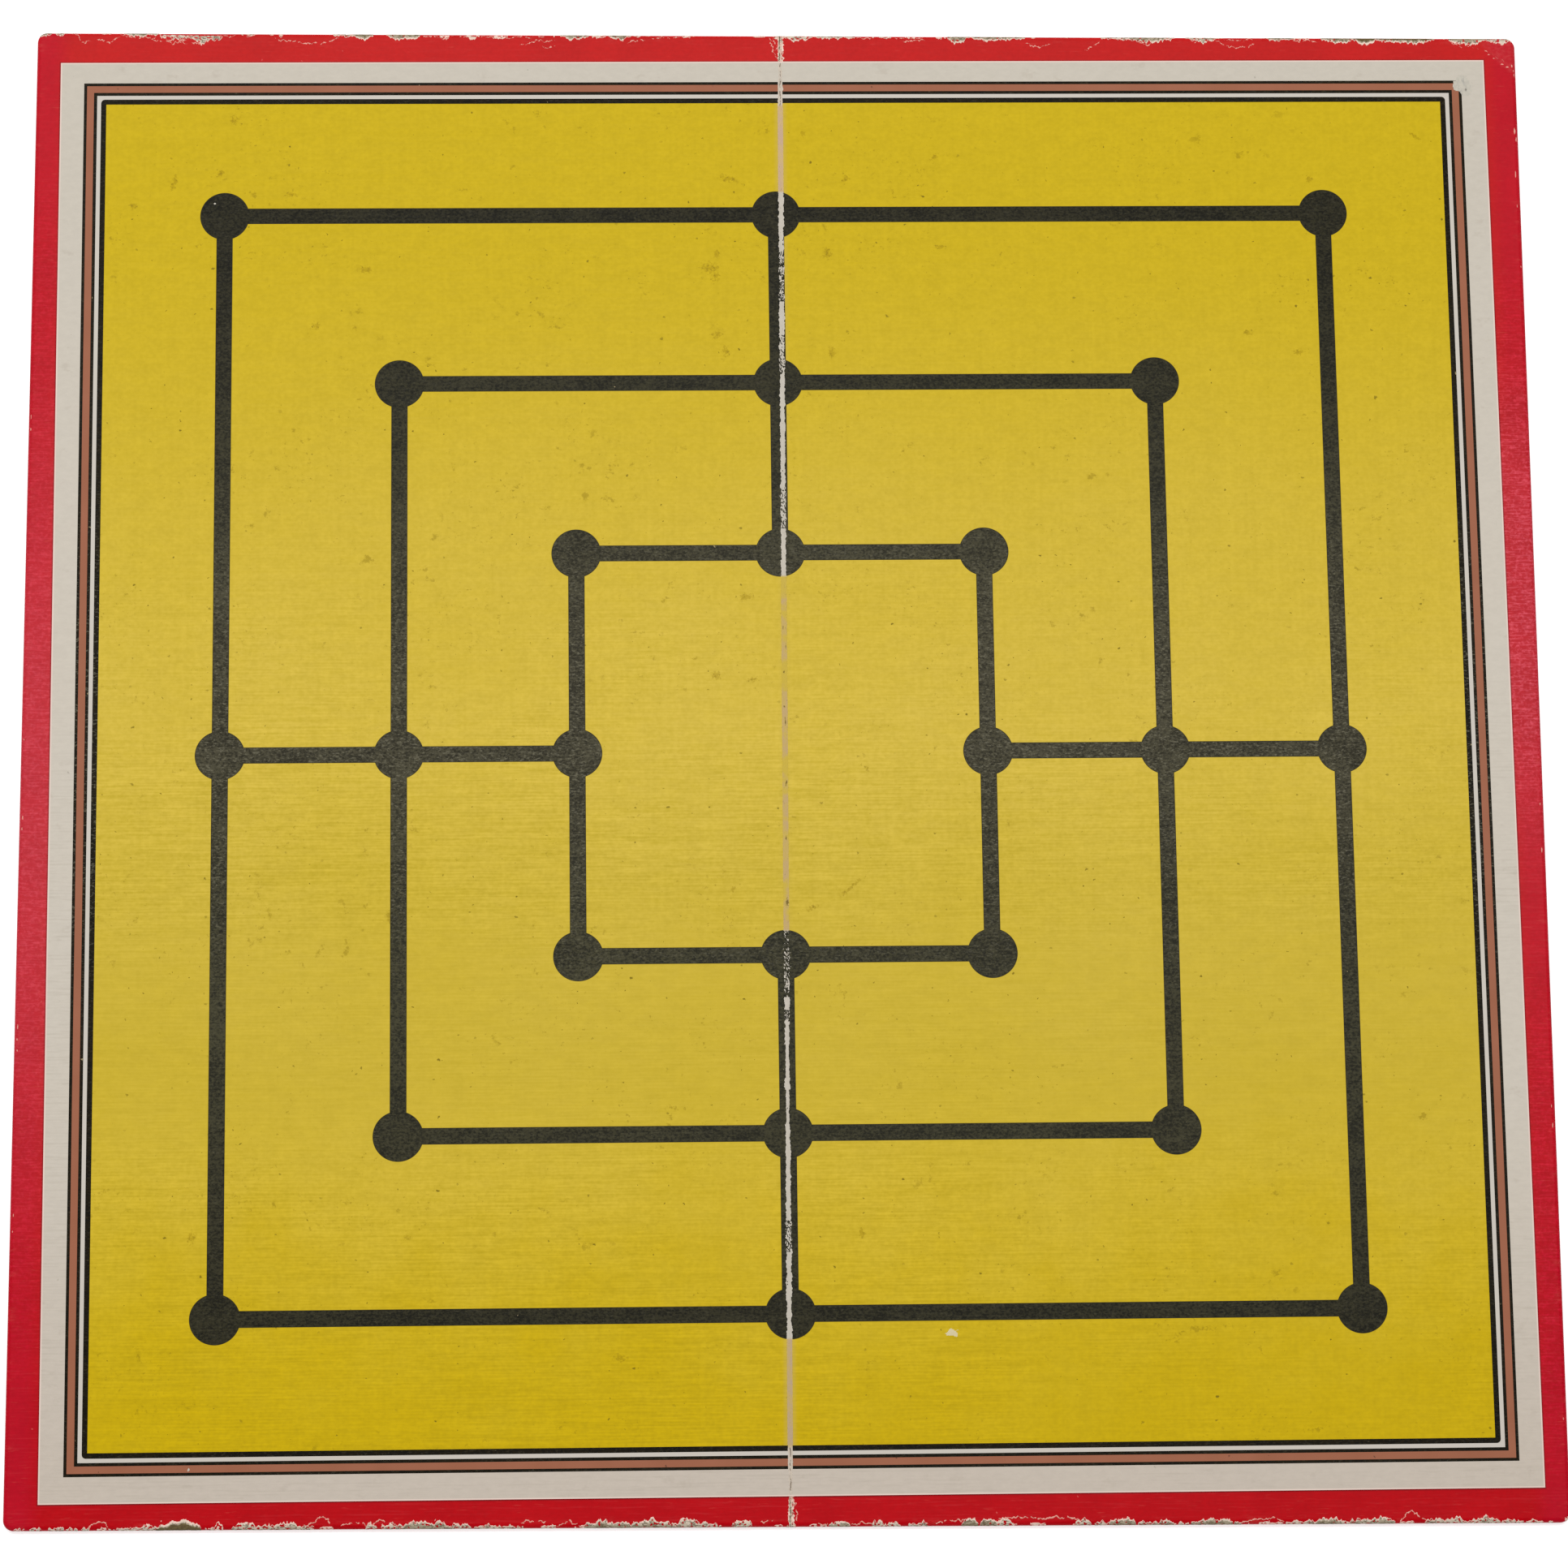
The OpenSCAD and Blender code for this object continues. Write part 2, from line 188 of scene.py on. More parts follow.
# Smudges on the yellow printing: place, length and width in millimetres, and slant in degrees.
STAINS = [
    (12.6, -26.0, 7.4, 0.8, 41), (5.0, -30.0, 3.0, 1.0, 20), (-6.2, 15.8, 2.4, 1.0, 10),
    (-7.3, 32.6, 3.6, 1.2, 5), (-13.4, 16.7, 1.6, 1.8, 60), (-17.6, 20.1, 1.3, 1.0, 0),
    (16.1, -1.9, 1.0, 1.6, 15), (-10.6, -26.3, 1.8, 1.2, 30), (-14.4, 100.6, 4.0, 2.4, 0),
    (-13.2, 98.8, 2.6, 2.0, 70), (-13.0, 103.5, 1.3, 1.6, 0), (-10.6, 119.3, 5.0, 1.4, -15),
    (-13.1, 86.8, 2.6, 1.8, 20), (-11.3, 83.3, 1.6, 2.6, 0), (4.4, 129.0, 1.1, 1.4, 0),
    (13.0, 119.4, 2.0, 1.6, 40), (9.2, 103.9, 2.0, 2.8, 20), (9.9, 83.1, 1.6, 2.4, -10),
    (31.0, 123.9, 2.4, 1.2, 50), (31.7, 105.2, 2.6, 1.0, 0), (-110.1, 131.2, 2.4, 1.6, 30),
    (-121.9, 118.3, 3.4, 1.3, 75), (-130.0, 113.1, 2.0, 1.4, 0), (-112.7, 120.2, 2.4, 1.6, 20),
    (-83.3, 100.1, 3.4, 1.2, -10), (-93.0, 88.3, 2.0, 1.8, 0), (-85.4, 88.0, 1.3, 0.9, -40),
    (-98.5, 115.8, 2.4, 1.2, 0), (128.8, 128.8, 3.2, 0.7, -38), (107.0, 119.6, 1.4, 1.8, 0),
    (93.8, 87.4, 2.0, 1.2, 10), (103.8, 83.3, 2.6, 1.4, 0), (-115.0, -94.2, 1.8, 2.4, 0),
    (14.2, -93.8, 1.2, 2.2, 10), (-32.6, -117.8, 2.6, 1.8, 0), (15.3, -130.6, 1.2, 1.0, 0),
]

# Dark spots on the fold, given in the same way.
CREASE_SPOTS = [
    (0.2, -28.9, 1.7, 0.8, 90), (0.1, 7.4, 1.8, 0.3, 90), (-0.1, 10.4, 0.6, 0.5, 90),
    (0.2, -5.0, 1.5, 0.4, 80), (0.1, -16.2, 1.0, 0.3, 90), (-0.1, 17.4, 0.7, 0.4, 60),
    (-0.2, 26.4, 1.0, 0.2, 90), (0.3, 22.6, 1.4, 0.2, 90),
]

# The worn paper along the fold: near and far end in millimetres, half width, how much of it is
# missing, and how many cracks and loose flecks it has, both from 0 to 1.
FOLD_WEAR = [
    (139.0, 144.0, 0.3, 0.3, 0.3), (134.6, 139.0, 0.45, 0.12, 0.3), (116.2, 134.6, 0.54, 0.0, 0.0),
    (107.0, 116.2, 0.5, 0.1, 0.35), (104.0, 107.0, 0.48, 0.12, 0.5), (101.6, 104.0, 0.5, 0.2, 0.7),
    (99.4, 101.6, 0.46, 0.34, 0.7), (93.6, 99.4, 0.5, 0.28, 0.8), (86.6, 93.6, 0.5, 0.02, 0.1),
    (81.0, 86.6, 0.5, 0.04, 0.6), (78.6, 81.0, 0.5, 0.22, 0.8), (72.0, 78.6, 0.46, 0.04, 0.2),
    (55.2, 72.0, 0.46, 0.03, 0.3), (46.6, 55.2, 0.5, 0.06, 0.6), (37.0, 46.6, 0.48, 0.04, 0.2),
    (-34.6, 37.0, 0.58, 0.0, 0.0), (-38.0, -34.6, 0.4, 0.5, 0.6), (-46.8, -38.0, 0.48, 0.36, 1.0),
    (-47.6, -46.8, 0.4, 0.6, 0.8), (-50.2, -47.6, 0.5, 0.1, 0.5), (-52.4, -50.2, 0.42, 0.34, 0.9),
    (-57.0, -52.4, 0.45, 0.05, 0.45), (-59.0, -57.0, 0.3, 0.22, 0.5), (-63.4, -59.0, 0.36, 0.1, 0.5),
    (-66.0, -63.4, 0.56, 0.08, 0.5), (-70.2, -66.0, 0.34, 0.14, 0.5), (-72.6, -70.2, 0.28, 0.04, 0.2),
    (-91.4, -72.6, 0.46, 0.02, 0.3), (-97.4, -91.4, 0.54, 0.04, 0.65), (-105.0, -97.4, 0.52, 0.06, 0.5),
    (-114.6, -105.0, 0.5, 0.04, 0.3), (-134.6, -114.6, 0.52, 0.0, 0.0),
    (-139.0, -134.6, 0.42, 0.14, 0.3), (-144.0, -139.0, 0.3, 0.3, 0.3),
]

# Small chips in the red paper at the two sides and on the creased corner: place, and half
# their size across and along the board, in millimetres.
SMALL_CHIPS = [
    (149.25, 130.1, 0.2, 0.95), (149.5, 128.3, 0.16, 0.6), (149.55, 142.0, 0.12, 0.5),
    (149.1, 120.9, 0.1, 0.8), (149.2, 114.1, 0.1, 0.4), (149.5, 101.4, 0.12, 0.3),
    (149.2, -9.3, 0.14, 0.4), (149.2, -18.6, 0.12, 0.7), (149.2, -69.5, 0.12, 0.6),
    (149.3, -73.2, 0.12, 0.8), (149.2, -130.2, 0.12, 0.3), (147.2, 144.35, 0.4, 0.16),
    (148.2, 143.75, 0.34, 0.18), (149.2, 144.0, 0.15, 0.35), (149.45, 142.9, 0.12, 0.4),
    (145.6, 145.6, 0.3, 0.15), (144.5, 146.4, 0.28, 0.14), (-149.5, 69.6, 0.1, 0.6),
    (-149.5, 66.9, 0.12, 0.4), (-149.4, 3.9, 0.12, 0.3), (-149.3, -11.6, 0.16, 0.5),
    (-149.4, -14.0, 0.12, 0.4), (-149.3, -53.0, 0.14, 0.7), (-149.4, -55.6, 0.14, 0.3),
    (-149.3, -57.8, 0.14, 0.4), (-149.3, -89.8, 0.12, 0.4), (-149.4, -93.0, 0.12, 0.3),
]


# Camera, at the photograph's angle.
bpy.ops.object.camera_add(location=CAMERA_PLACE)
camera = bpy.context.object
camera.name = "photo_camera"
camera.rotation_euler = [math.radians(turn) for turn in CAMERA_TURN]
camera.data.lens = CAMERA_LENS
camera.data.sensor_width = 36.0
camera.data.clip_start = 0.01
camera.data.clip_end = 20.0
bpy.context.scene.camera = camera


class Pattern:
    """What one output of a node gives over a surface: a number, a colour or a place."""

    def __init__(self, nodes, node, output=0):
        self.nodes = nodes
        self.node = node
        self.output = output

    def __getitem__(self, output):
        return Pattern(self.nodes, self.node, output)

    def __add__(self, other):
        return self.nodes.sum("ADD", self, other)

    def __radd__(self, number):
        return self.nodes.sum("ADD", number, self)

    def __sub__(self, number):
        return self.nodes.sum("ADD", self, -number)

    def __mul__(self, other):
        return self.nodes.sum("MULTIPLY", self, other)

    def __abs__(self):
        return self.nodes.sum("ABSOLUTE", self)

    def step(self, start, end, low=0.0, high=1.0):
        """Goes smoothly from low to high as this goes from start to end."""
        ends = {"Value": self, "From Min": start, "From Max": end, "To Min": low, "To Max": high}
        return self.nodes.add("ShaderNodeMapRange", ends, interpolation_type="SMOOTHSTEP")


class Nodes:
    """The nodes of a material or of the world, begun again from their output alone."""

    def __init__(self, owner, output):
        owner.use_nodes = True
        self.tree = owner.node_tree
        self.tree.nodes.clear()
        self.end = self.add(output)

    def add(self, kind, inputs=None, **settings):
        """A new node. inputs gives each socket a pattern or a plain value."""
        node = self.tree.nodes.new(kind)
        for setting, value in settings.items():
            setattr(node, setting, value)
        made = Pattern(self, node)
        self.feed(made, inputs or {})
        return made

    def feed(self, pattern, inputs):
        for socket, value in inputs.items():
            target = pattern.node.inputs[socket]
            if isinstance(value, Pattern):
                self.tree.links.new(value.node.outputs[value.output], target)
            else:
                target.default_value = value

    def sum(self, operation, first, second=0.0):
        return self.add("ShaderNodeMath", {0: first, 1: second}, operation=operation)

    def most(self, first, second):
        return self.sum("MAXIMUM", first, second)

    def least(self, first, second):
        return self.sum("MINIMUM", first, second)


class Finish(Nodes):
    """A material for one of the board's papers: one shader, and patterns laid out in millimetres.
    mm, x and y follow the printing, which is turned and shifted on the board, and board, board_x
    and board_y the board. colour is what has been laid so far, one layer over the other."""

    def __init__(self, name, turn=0.0, shift=0.0):
        self.material = bpy.data.materials.new(name)
        super().__init__(self.material, "ShaderNodeOutputMaterial")
        self.shader = self.add("ShaderNodeBsdfPrincipled")
        self.feed(self.end, {"Surface": self.shader})
        place = self.add("ShaderNodeTexCoord")["Object"]
        to_mm = (1 / MM, 1 / MM, 1 / MM)
        self.mm = self.placed(place, to_mm, (0, -shift, 0), -turn)
        self.x, self.y, self.z = self.parted(self.mm)
        self.board = self.placed(place, to_mm)
        self.board_x, self.board_y = self.parted(self.board)[:2]
        self.colour = None

    def placed(self, vector, scale, location=(0, 0, 0), turn=0.0, kind="POINT"):
        rotation = (0, 0, math.radians(turn))
        inputs = {"Vector": vector, "Scale": scale, "Location": location, "Rotation": rotation}
        return self.add("ShaderNodeMapping", inputs, vector_type=kind)

    def parted(self, vector):
        split = self.add("ShaderNodeSeparateXYZ", {"Vector": vector})
        return split["X"], split["Y"], split["Z"]

    def mixed(self, share, first, second, blend="MIX"):
        """The first colour where share is 0, and the second where it is 1."""
        share_in, first_in, second_in, colour_out = 0, 6, 7, 2
        inputs = {share_in: share, first_in: first, second_in: second}
        settings = {"data_type": "RGBA", "blend_type": blend, "clamp_factor": True}
        return self.add("ShaderNodeMix", inputs, **settings)[colour_out]

    def lay(self, share, red, green, blue):
        """Covers a share of the colour so far with this one, given as a screen shows it."""
        self.colour = self.mixed(share, self.colour, paint(red, green, blue))

    def multiply(self, red, green, blue):
        """Multiplies each of the three parts of the colour so far by a pattern."""
        whole = self.add("ShaderNodeCombineColor", {"Red": red, "Green": green, "Blue": blue})
        self.colour = self.mixed(1.0, self.colour, whole, "MULTIPLY")

    def tone(self, pattern, low, high):
        """Darkens and lightens the colour from low to high by a pattern from 0 to 1."""
        grey = pattern.step(0.25, 0.75, low, high)
        self.multiply(grey, grey, grey)

    def grain(self, size, detail=2.0, stretch=(1, 1, 1), seed=0.0, rough=0.5):
        """Cloudy pattern whose patches are about size millimetres, longer along stretch."""
        scale = [1 / (size * s) for s in stretch]
        place = self.placed(self.mm, scale, (seed, seed * 1.7, seed * 0.3))
        inputs = {"Vector": place, "Scale": 1.0, "Detail": detail, "Roughness": rough}
        return self.add("ShaderNodeTexNoise", inputs)

    def specks(self, pitch, largest, share, seed=0.0, stretch=(1, 1, 1)):
        """Irregular flecks, one to a cell of pitch millimetres and up to largest across."""
        sway = self.add("ShaderNodeTexNoise", {"Vector": self.mm, "Scale": 1.6, "Detail": 2.0})
        bent = self.add("ShaderNodeVectorMath", {0: sway["Color"], 1: (0.9, 0.9, 0.0), 2: self.mm},
                        operation="MULTIPLY_ADD")
        scale = [1 / (pitch * s) for s in stretch]
        place = self.placed(bent, scale, (seed, seed * 2.3, 0))
        cells = self.add("ShaderNodeTexVoronoi", {"Vector": place, "Scale": 1.0},
                         voronoi_dimensions="2D")
        pick = self.add("ShaderNodeSeparateColor", {"Color": cells["Color"]})
        reach = pick["Red"].step(1.0 - share, 1.0) * (largest / (2 * pitch))
        edge = reach * 0.45
        there = self.sum("LESS_THAN", 0.0001, reach)
        return there * cells["Distance"].step(reach, edge)

    def marks(self, smudges, wobble):
        """The listed smudges, each given by its place, length, width and slant: how strong they
        are here, from 0 to 1."""
        strongest = 0.0
        for x, y, length, width, slant in smudges:
            scale = (length / 2, width / 2, 1000)
            inside = self.placed(self.board, scale, (x, y, 0), slant, "TEXTURE")
            reach = self.add("ShaderNodeVectorMath", {0: inside}, operation="LENGTH")["Value"]
            strongest = self.most(strongest, (reach + wobble).step(1.0, 0.35))
        return strongest

    def made(self, roughness, specular, height, depth, strength):
        """Feeds the shader, with the colour laid so far and its gloss. The surface rises by
        height, from 0 to 1, times depth in millimetres."""
        bump = {"Strength": strength, "Distance": depth * MM, "Height": height}
        self.feed(self.shader, {
            "Base Color": self.colour, "Roughness": roughness, "Specular IOR Level": specular,
            "Normal": self.add("ShaderNodeBump", bump)})
        return self


def paint(red, green, blue):
    """A colour as a screen shows it, 0 to 255, as the shader's own values."""
    linear = []
    for value in (red, green, blue):
        share = value / 255
        linear.append(share / 12.92 if share <= 0.04045 else ((share + 0.055) / 1.055) ** 2.4)
    return (*linear, 1.0)


def waves(finish, direction, pitch, **more):
    """Fine ridges across the direction, pitch millimetres apart. From 0 to 1."""
    inputs = {"Vector": finish.mm, "Scale": 2 * math.pi / (20 * pitch)}
    inputs.update(more)
    return finish.add("ShaderNodeTexWave", inputs, bands_direction=direction)["Fac"]


def linen(finish):
    """The embossed linen as it wore: uneven threads across the board. From 0 to 1, about a half."""
    ribs = waves(finish, "Y", LINEN_PITCH, **{"Distortion": 2.5, "Detail": 2.0, "Detail Scale": 0.6})
    dashes = finish.grain(0.4, 2.5, (15.0, 1.0, 1.0), 4.1, 0.6)
    threads = finish.grain(0.55, 2.0, (60.0, 1.0, 1.0), 14.3, 0.6)
    return ribs * 0.07 + (dashes * 0.55 + threads * 0.38)


def paper_grain(finish):
    """Fine even mottle of printed paper. From 0 to 1, about a half."""
    return finish.grain(0.8, 3.0, (1.15, 1, 1), 77.0, 0.55)


def rib_share(finish, least, most):
    """How plainly the linen shows. It is faint towards the far end and to the right and comes and goes
    in between, after how the light falls across the ribs: painted light and shade on the ribs."""
    near = finish.y.step(70.0, -20.0)
    left = finish.x.step(90.0, -20.0, 0.55, 1.0)
    patches = finish.grain(30.0, 3.0, (1.4, 1, 1), 83.0, 0.6).step(0.36, 0.64, 0.5, 1.25)
    return (near * left * patches).step(0.0, 1.0, least, most)


def label_wear(finish, height):
    """Height pattern of the label: the linen, and the edges of the cloth strip under it."""
    strip = abs(finish.x).step(STRIP_HALF - 0.25, STRIP_HALF + 0.25, 1.0, 0.0)
    return height + strip * 0.5


def smudges(finish, size, seed, cluster=14.0):
    """Soft dirty patches of about size millimetres, gathered in clusters."""
    patch = finish.grain(size, 4.0, (1.1, 1, 1), seed, 0.72).step(0.6, 0.7)
    where = finish.grain(cluster, 2.0, (1, 1, 1), seed + 2.7).step(0.53, 0.63)
    return patch * where


def ink_spread(finish):
    """A thin rim round the lines and points of the diagram, where their ink ran: 1 in it, else 0.
    It is found in one quarter of the diagram, which the other three mirror."""
    across = abs(finish.x - MILL_X)
    along = abs(finish.y - MILL_Y)
    outer = finish.most(across, along)
    inner = finish.least(across, along)
    inner_square = inner * inner
    past_ends = finish.most(outer - MILL_HALF, outer * -1.0 + (MILL_HALF - 2 * MILL_STEP))
    lines = inner + finish.most(past_ends, 0.0)
    points = 1000.0
    for number in range(3):
        square = MILL_HALF - number * MILL_STEP
        off = outer - square
        lines = finish.least(lines, abs(off))
        from_corner = inner - square
        nearer = finish.least(from_corner * from_corner, inner_square)
        points = finish.least(points, off * off + nearer)
    to_point = finish.sum("SQRT", points) - MILL_POINT_R
    return finish.least(lines - MILL_LINE_HALF, to_point).step(0.18, 0.07)


def yellow_printing(name, turn, shift, sheen_and_wear_share, played):
    """Yellow of the field: golden near the near end, and paler across the centre by a share given for
    each face: partly wear, partly painted sheen. The face that was played on also has smudges, the wear
    along the fold and the diagram's ink."""
    finish = Finish(name, turn, shift)
    ribs = linen(finish)
    cloud = finish.grain(38.0, 3.0, (1, 1, 1), 2.0)
    patches = finish.grain(9.0, 3.0, (1.2, 1, 1), 3.6, 0.6)
    mottle = finish.grain(2.6, 4.0, (1.6, 1, 1), 7.0, 0.65)
    near_end = (finish.y + (cloud * 46.0 + patches * 52.0)).step(-25.0, -95.0)
    # Paler across the centre: partly wear, partly painted sheen.
    sheen_band = abs(finish.y + 14.0).step(128.0, 15.0)
    wear_and_sheen = sheen_band * cloud.step(0.2, 0.8, 0.7 * sheen_and_wear_share, 1.0 * sheen_and_wear_share)
    duller = abs(finish.y + 42.0).step(48.0, 16.0, 0.0, 0.25 * sheen_and_wear_share)
    finish.colour = finish.mixed(wear_and_sheen, paint(206, 177, 20), paint(215, 187, 68))
    finish.lay(near_end, 203, 172, 0)
    finish.lay(duller, 188, 165, 6)
    finish.tone(mottle, 0.965, 1.03)
    share = rib_share(finish, 0.12, 1.0)
    fine = paper_grain(finish)
    # Rib streaks in the colour, stronger in blue: partly wear of the print, partly painted sheen on the
    # ribs.
    streak = ribs.step(0.34, 0.66, -1.0, 1.0) * share * 0.07
    speckle = fine.step(0.32, 0.68, -1.0, 1.0) * (0.03 + share * 0.012)
    upright = finish.grain(1.0, 2.0, (1, 30.0, 1), 91.0, 0.6).step(0.3, 0.7, -0.012, 0.012)
    calm = abs(finish.y + 56.0).step(12.0, 30.0, 0.45, 1.0)
    tone = (streak + speckle + upright) * calm
    finish.multiply(1.0 + tone, 1.0 + tone, 1.0 + tone * 3.2)
    flecks = finish.most(finish.specks(7.5, 0.75, 0.4, 1.0, (1.0, 0.8, 1.0)),
                         finish.specks(2.9, 0.38, 0.3, 5.0))
    patchy = finish.grain(16.0, 2.0, (1, 1, 1), 9.0).step(0.4, 0.62, 0.2, 0.9)
    dirt = finish.most(smudges(finish, 0.9, 12.0), smudges(finish, 2.4, 31.0, 24.0))
    finish.lay(dirt * 0.5, 146, 120, 0)
    finish.lay(flecks * patchy, 124, 104, 10)
    if played:
        rough = (finish.grain(0.55, 4.0, (1, 1, 1), 57.0, 0.75) - 0.5) * 4.6
        stains = finish.marks(STAINS, rough)
        crumbs = finish.grain(0.5, 3.0, (1, 1, 1), 64.0, 0.7).step(0.5, 0.62)
        by_fold = abs(finish.board_x).step(1.6, 0.45)
        ends = abs(finish.board_y).step(25.0, 110.0, 0.12, 0.5)
        finish.lay(stains * 0.5, 166, 136, 0)
        finish.lay(stains * crumbs * 0.42, 122, 98, 2)
        finish.lay(by_fold * ends, 201, 175, 84)
        finish.lay(ink_spread(finish), 40, 36, 22)
    height = ribs * share + fine * 0.35 + flecks * -0.6
    gloss = ribs.step(0.34, 0.66, 0.42, 0.37)
    return finish.made(gloss, 0.06, label_wear(finish, height), 0.02, 0.8)


def black_printing(name, turn, shift):
    """Black of the lines and points: greyer across the centre, partly wear and partly painted sheen,
    with a band of painted highlight and painted glints.
    """
    finish = Finish(name, turn, shift)
    ribs = linen(finish)
    share = rib_share(finish, 0.2, 1.0)
    wear_and_sheen = finish.grain(6.0, 3.0, (1.3, 1, 1), 3.0, 0.6)
    fine = finish.grain(0.42, 4.0, (1.3, 1, 1), 8.0, 0.68)
    # Greyer across the centre: partly wear, partly painted sheen. The narrower band is a painted
    # highlight.
    sheen_band = abs(finish.y + 18.0).step(132.0, 35.0, 0.3, 1.0)
    sheen_peak = abs(finish.y - 12.0).step(58.0, 6.0, 0.0, 0.9)
    out = finish.most(abs(finish.x), abs(finish.y))
    in_frame = out.step(FIELD_HALF - 0.4, FIELD_HALF - 0.1)
    dark = finish.mixed(sheen_band, paint(9, 8, 3), paint(35, 34, 22))
    dark = finish.mixed(sheen_peak, dark, paint(43, 40, 27))
    dark = finish.mixed(in_frame, dark, paint(10, 7, 0))
    pale = finish.mixed(sheen_band, paint(33, 30, 16), paint(70, 67, 46))
    pale = finish.mixed(sheen_peak, pale, paint(78, 74, 56))
    pale = finish.mixed(in_frame, pale, paint(30, 22, 1))
    lights = (fine + (wear_and_sheen - 0.5) * 0.3).step(0.36, 0.64) + (ribs - 0.5) * share * 1.4
    finish.colour = finish.mixed(lights, dark, pale)
    near_right = (finish.y + finish.x * -0.3).step(0.0, -70.0)
    finish.tone(near_right, 1.0, 0.87)
    pits = fine.step(0.36, 0.26)
    finish.lay(pits * 0.6, 14, 12, 4)
    scratch = finish.grain(0.3, 3.0, (5.0, 1, 1), 18.0, 0.7).step(0.68, 0.76)
    finish.lay(scratch * 0.5, 128, 120, 92)
    # Painted glints across the centre.
    glints = finish.grain(0.32, 2.0, (2.2, 1, 1), 66.0, 0.6).step(0.52, 0.7)
    in_light = abs(finish.y - 2.0).step(60.0, 16.0, 0.05, 0.32)
    finish.lay(glints * in_light, 150, 145, 122)
    chips = finish.specks(6.5, 0.4, 0.12, 21.0)
    finish.lay(chips * 0.8, 176, 160, 120)
    height = ribs * share + fine * 0.5
    gloss = ribs.step(0.34, 0.66, 0.44, 0.38)
    return finish.made(gloss, 0.06, label_wear(finish, height), 0.02, 0.9)


def brown_printing(name, turn, shift):
    """Brown of the band in the frame."""
    finish = Finish(name, turn, shift)
    ribs = linen(finish)
    share = rib_share(finish, 0.4, 1.0)
    cloud = finish.grain(7.0, 3.0, (1, 1, 1), 5.0)
    finish.colour = finish.mixed(cloud, paint(168, 106, 80), paint(152, 93, 66))
    finish.lay(ribs.step(0.6, 0.95) * (share * 0.35), 190, 132, 104)
    finish.lay(finish.specks(4.0, 0.5, 0.2, 11.0) * 0.7, 92, 58, 42)
    return finish.made(0.44, 0.1, label_wear(finish, ribs * share), 0.016, 0.7)


def crease_tint(finish):
    """Colour of the paper laid bare along the fold: yellowish where the printing beside it is
    yellow, greyish white where it is black, and grey in the margins, with a dark crack in it."""
    along = abs(finish.board_y - CONNECTOR_Y)
    off_end = abs(finish.board_y)
    blotches = finish.grain(3.0, 4.0, (1, 1.8, 1), 17.0, 0.65).step(0.36, 0.62)
    stretches = finish.grain(7.0, 3.0, (1, 1, 1), 37.0, 0.6).step(0.43, 0.57)
    patchy = stretches * blotches.step(0.0, 1.0, 0.55, 1.0)
    central = finish.mixed(patchy, paint(205, 178, 68), paint(196, 167, 116))
    outer = finish.mixed(blotches, paint(207, 178, 124), paint(200, 170, 142))
    near_end = finish.board_y.step(-92.0, -124.0)
    near_tint = finish.mixed(blotches, paint(198, 171, 106), paint(188, 164, 134))
    outer = finish.mixed(near_end, outer, near_tint)
    yellowed = finish.mixed(off_end.step(24.0, 105.0), central, outer)
    jagged = abs(finish.board_x) + (finish.grain(0.7, 3.0, (1, 1.5, 1), 61.0) - 0.5) * 0.35
    yellowed = finish.mixed(jagged.step(0.5, 0.66), yellowed, paint(205, 176, 44))
    in_black = (along.step(CONNECTOR_NEAR - 0.3, CONNECTOR_NEAR + 0.3)
                * along.step(CONNECTOR_FAR + 0.3, CONNECTOR_FAR - 0.3))
    fibres = finish.grain(0.8, 3.0, (0.5, 2.5, 1), 19.0)
    torn_tint = finish.mixed(fibres, paint(190, 182, 166), paint(212, 204, 192))
    colour = finish.mixed(in_black, yellowed, torn_tint)
    in_margin = off_end.step(FIELD_HALF - 0.6, FIELD_HALF + 0.4)
    cloud = finish.grain(1.4, 3.0, (1, 1, 1), 23.0)
    margin_tint = finish.mixed(cloud, paint(198, 184, 164), paint(216, 202, 188))
    colour = finish.mixed(in_margin, colour, margin_tint)
    wobble = (finish.grain(1.6, 3.0, (1, 1, 1), 43.0, 0.6) - 0.5) * 0.9
    crack = abs(finish.board_x + wobble).step(0.15, 0.06)
    broken = finish.grain(1.3, 2.0, (1, 1, 1), 47.0).step(0.42, 0.54)
    colour = finish.mixed(crack * broken * in_margin * 0.8, colour, paint(92, 76, 58))
    flecks = finish.grain(0.32, 3.0, (1, 2.2, 1), 29.0, 0.7).step(0.62, 0.74)
    colour = finish.mixed(flecks * 0.55, colour, paint(128, 108, 82))
    rough = (finish.grain(0.5, 4.0, (1, 1, 1), 58.0, 0.75) - 0.5) * 3.4
    return finish.mixed(finish.marks(CREASE_SPOTS, rough) * 0.8, colour, paint(94, 76, 20))


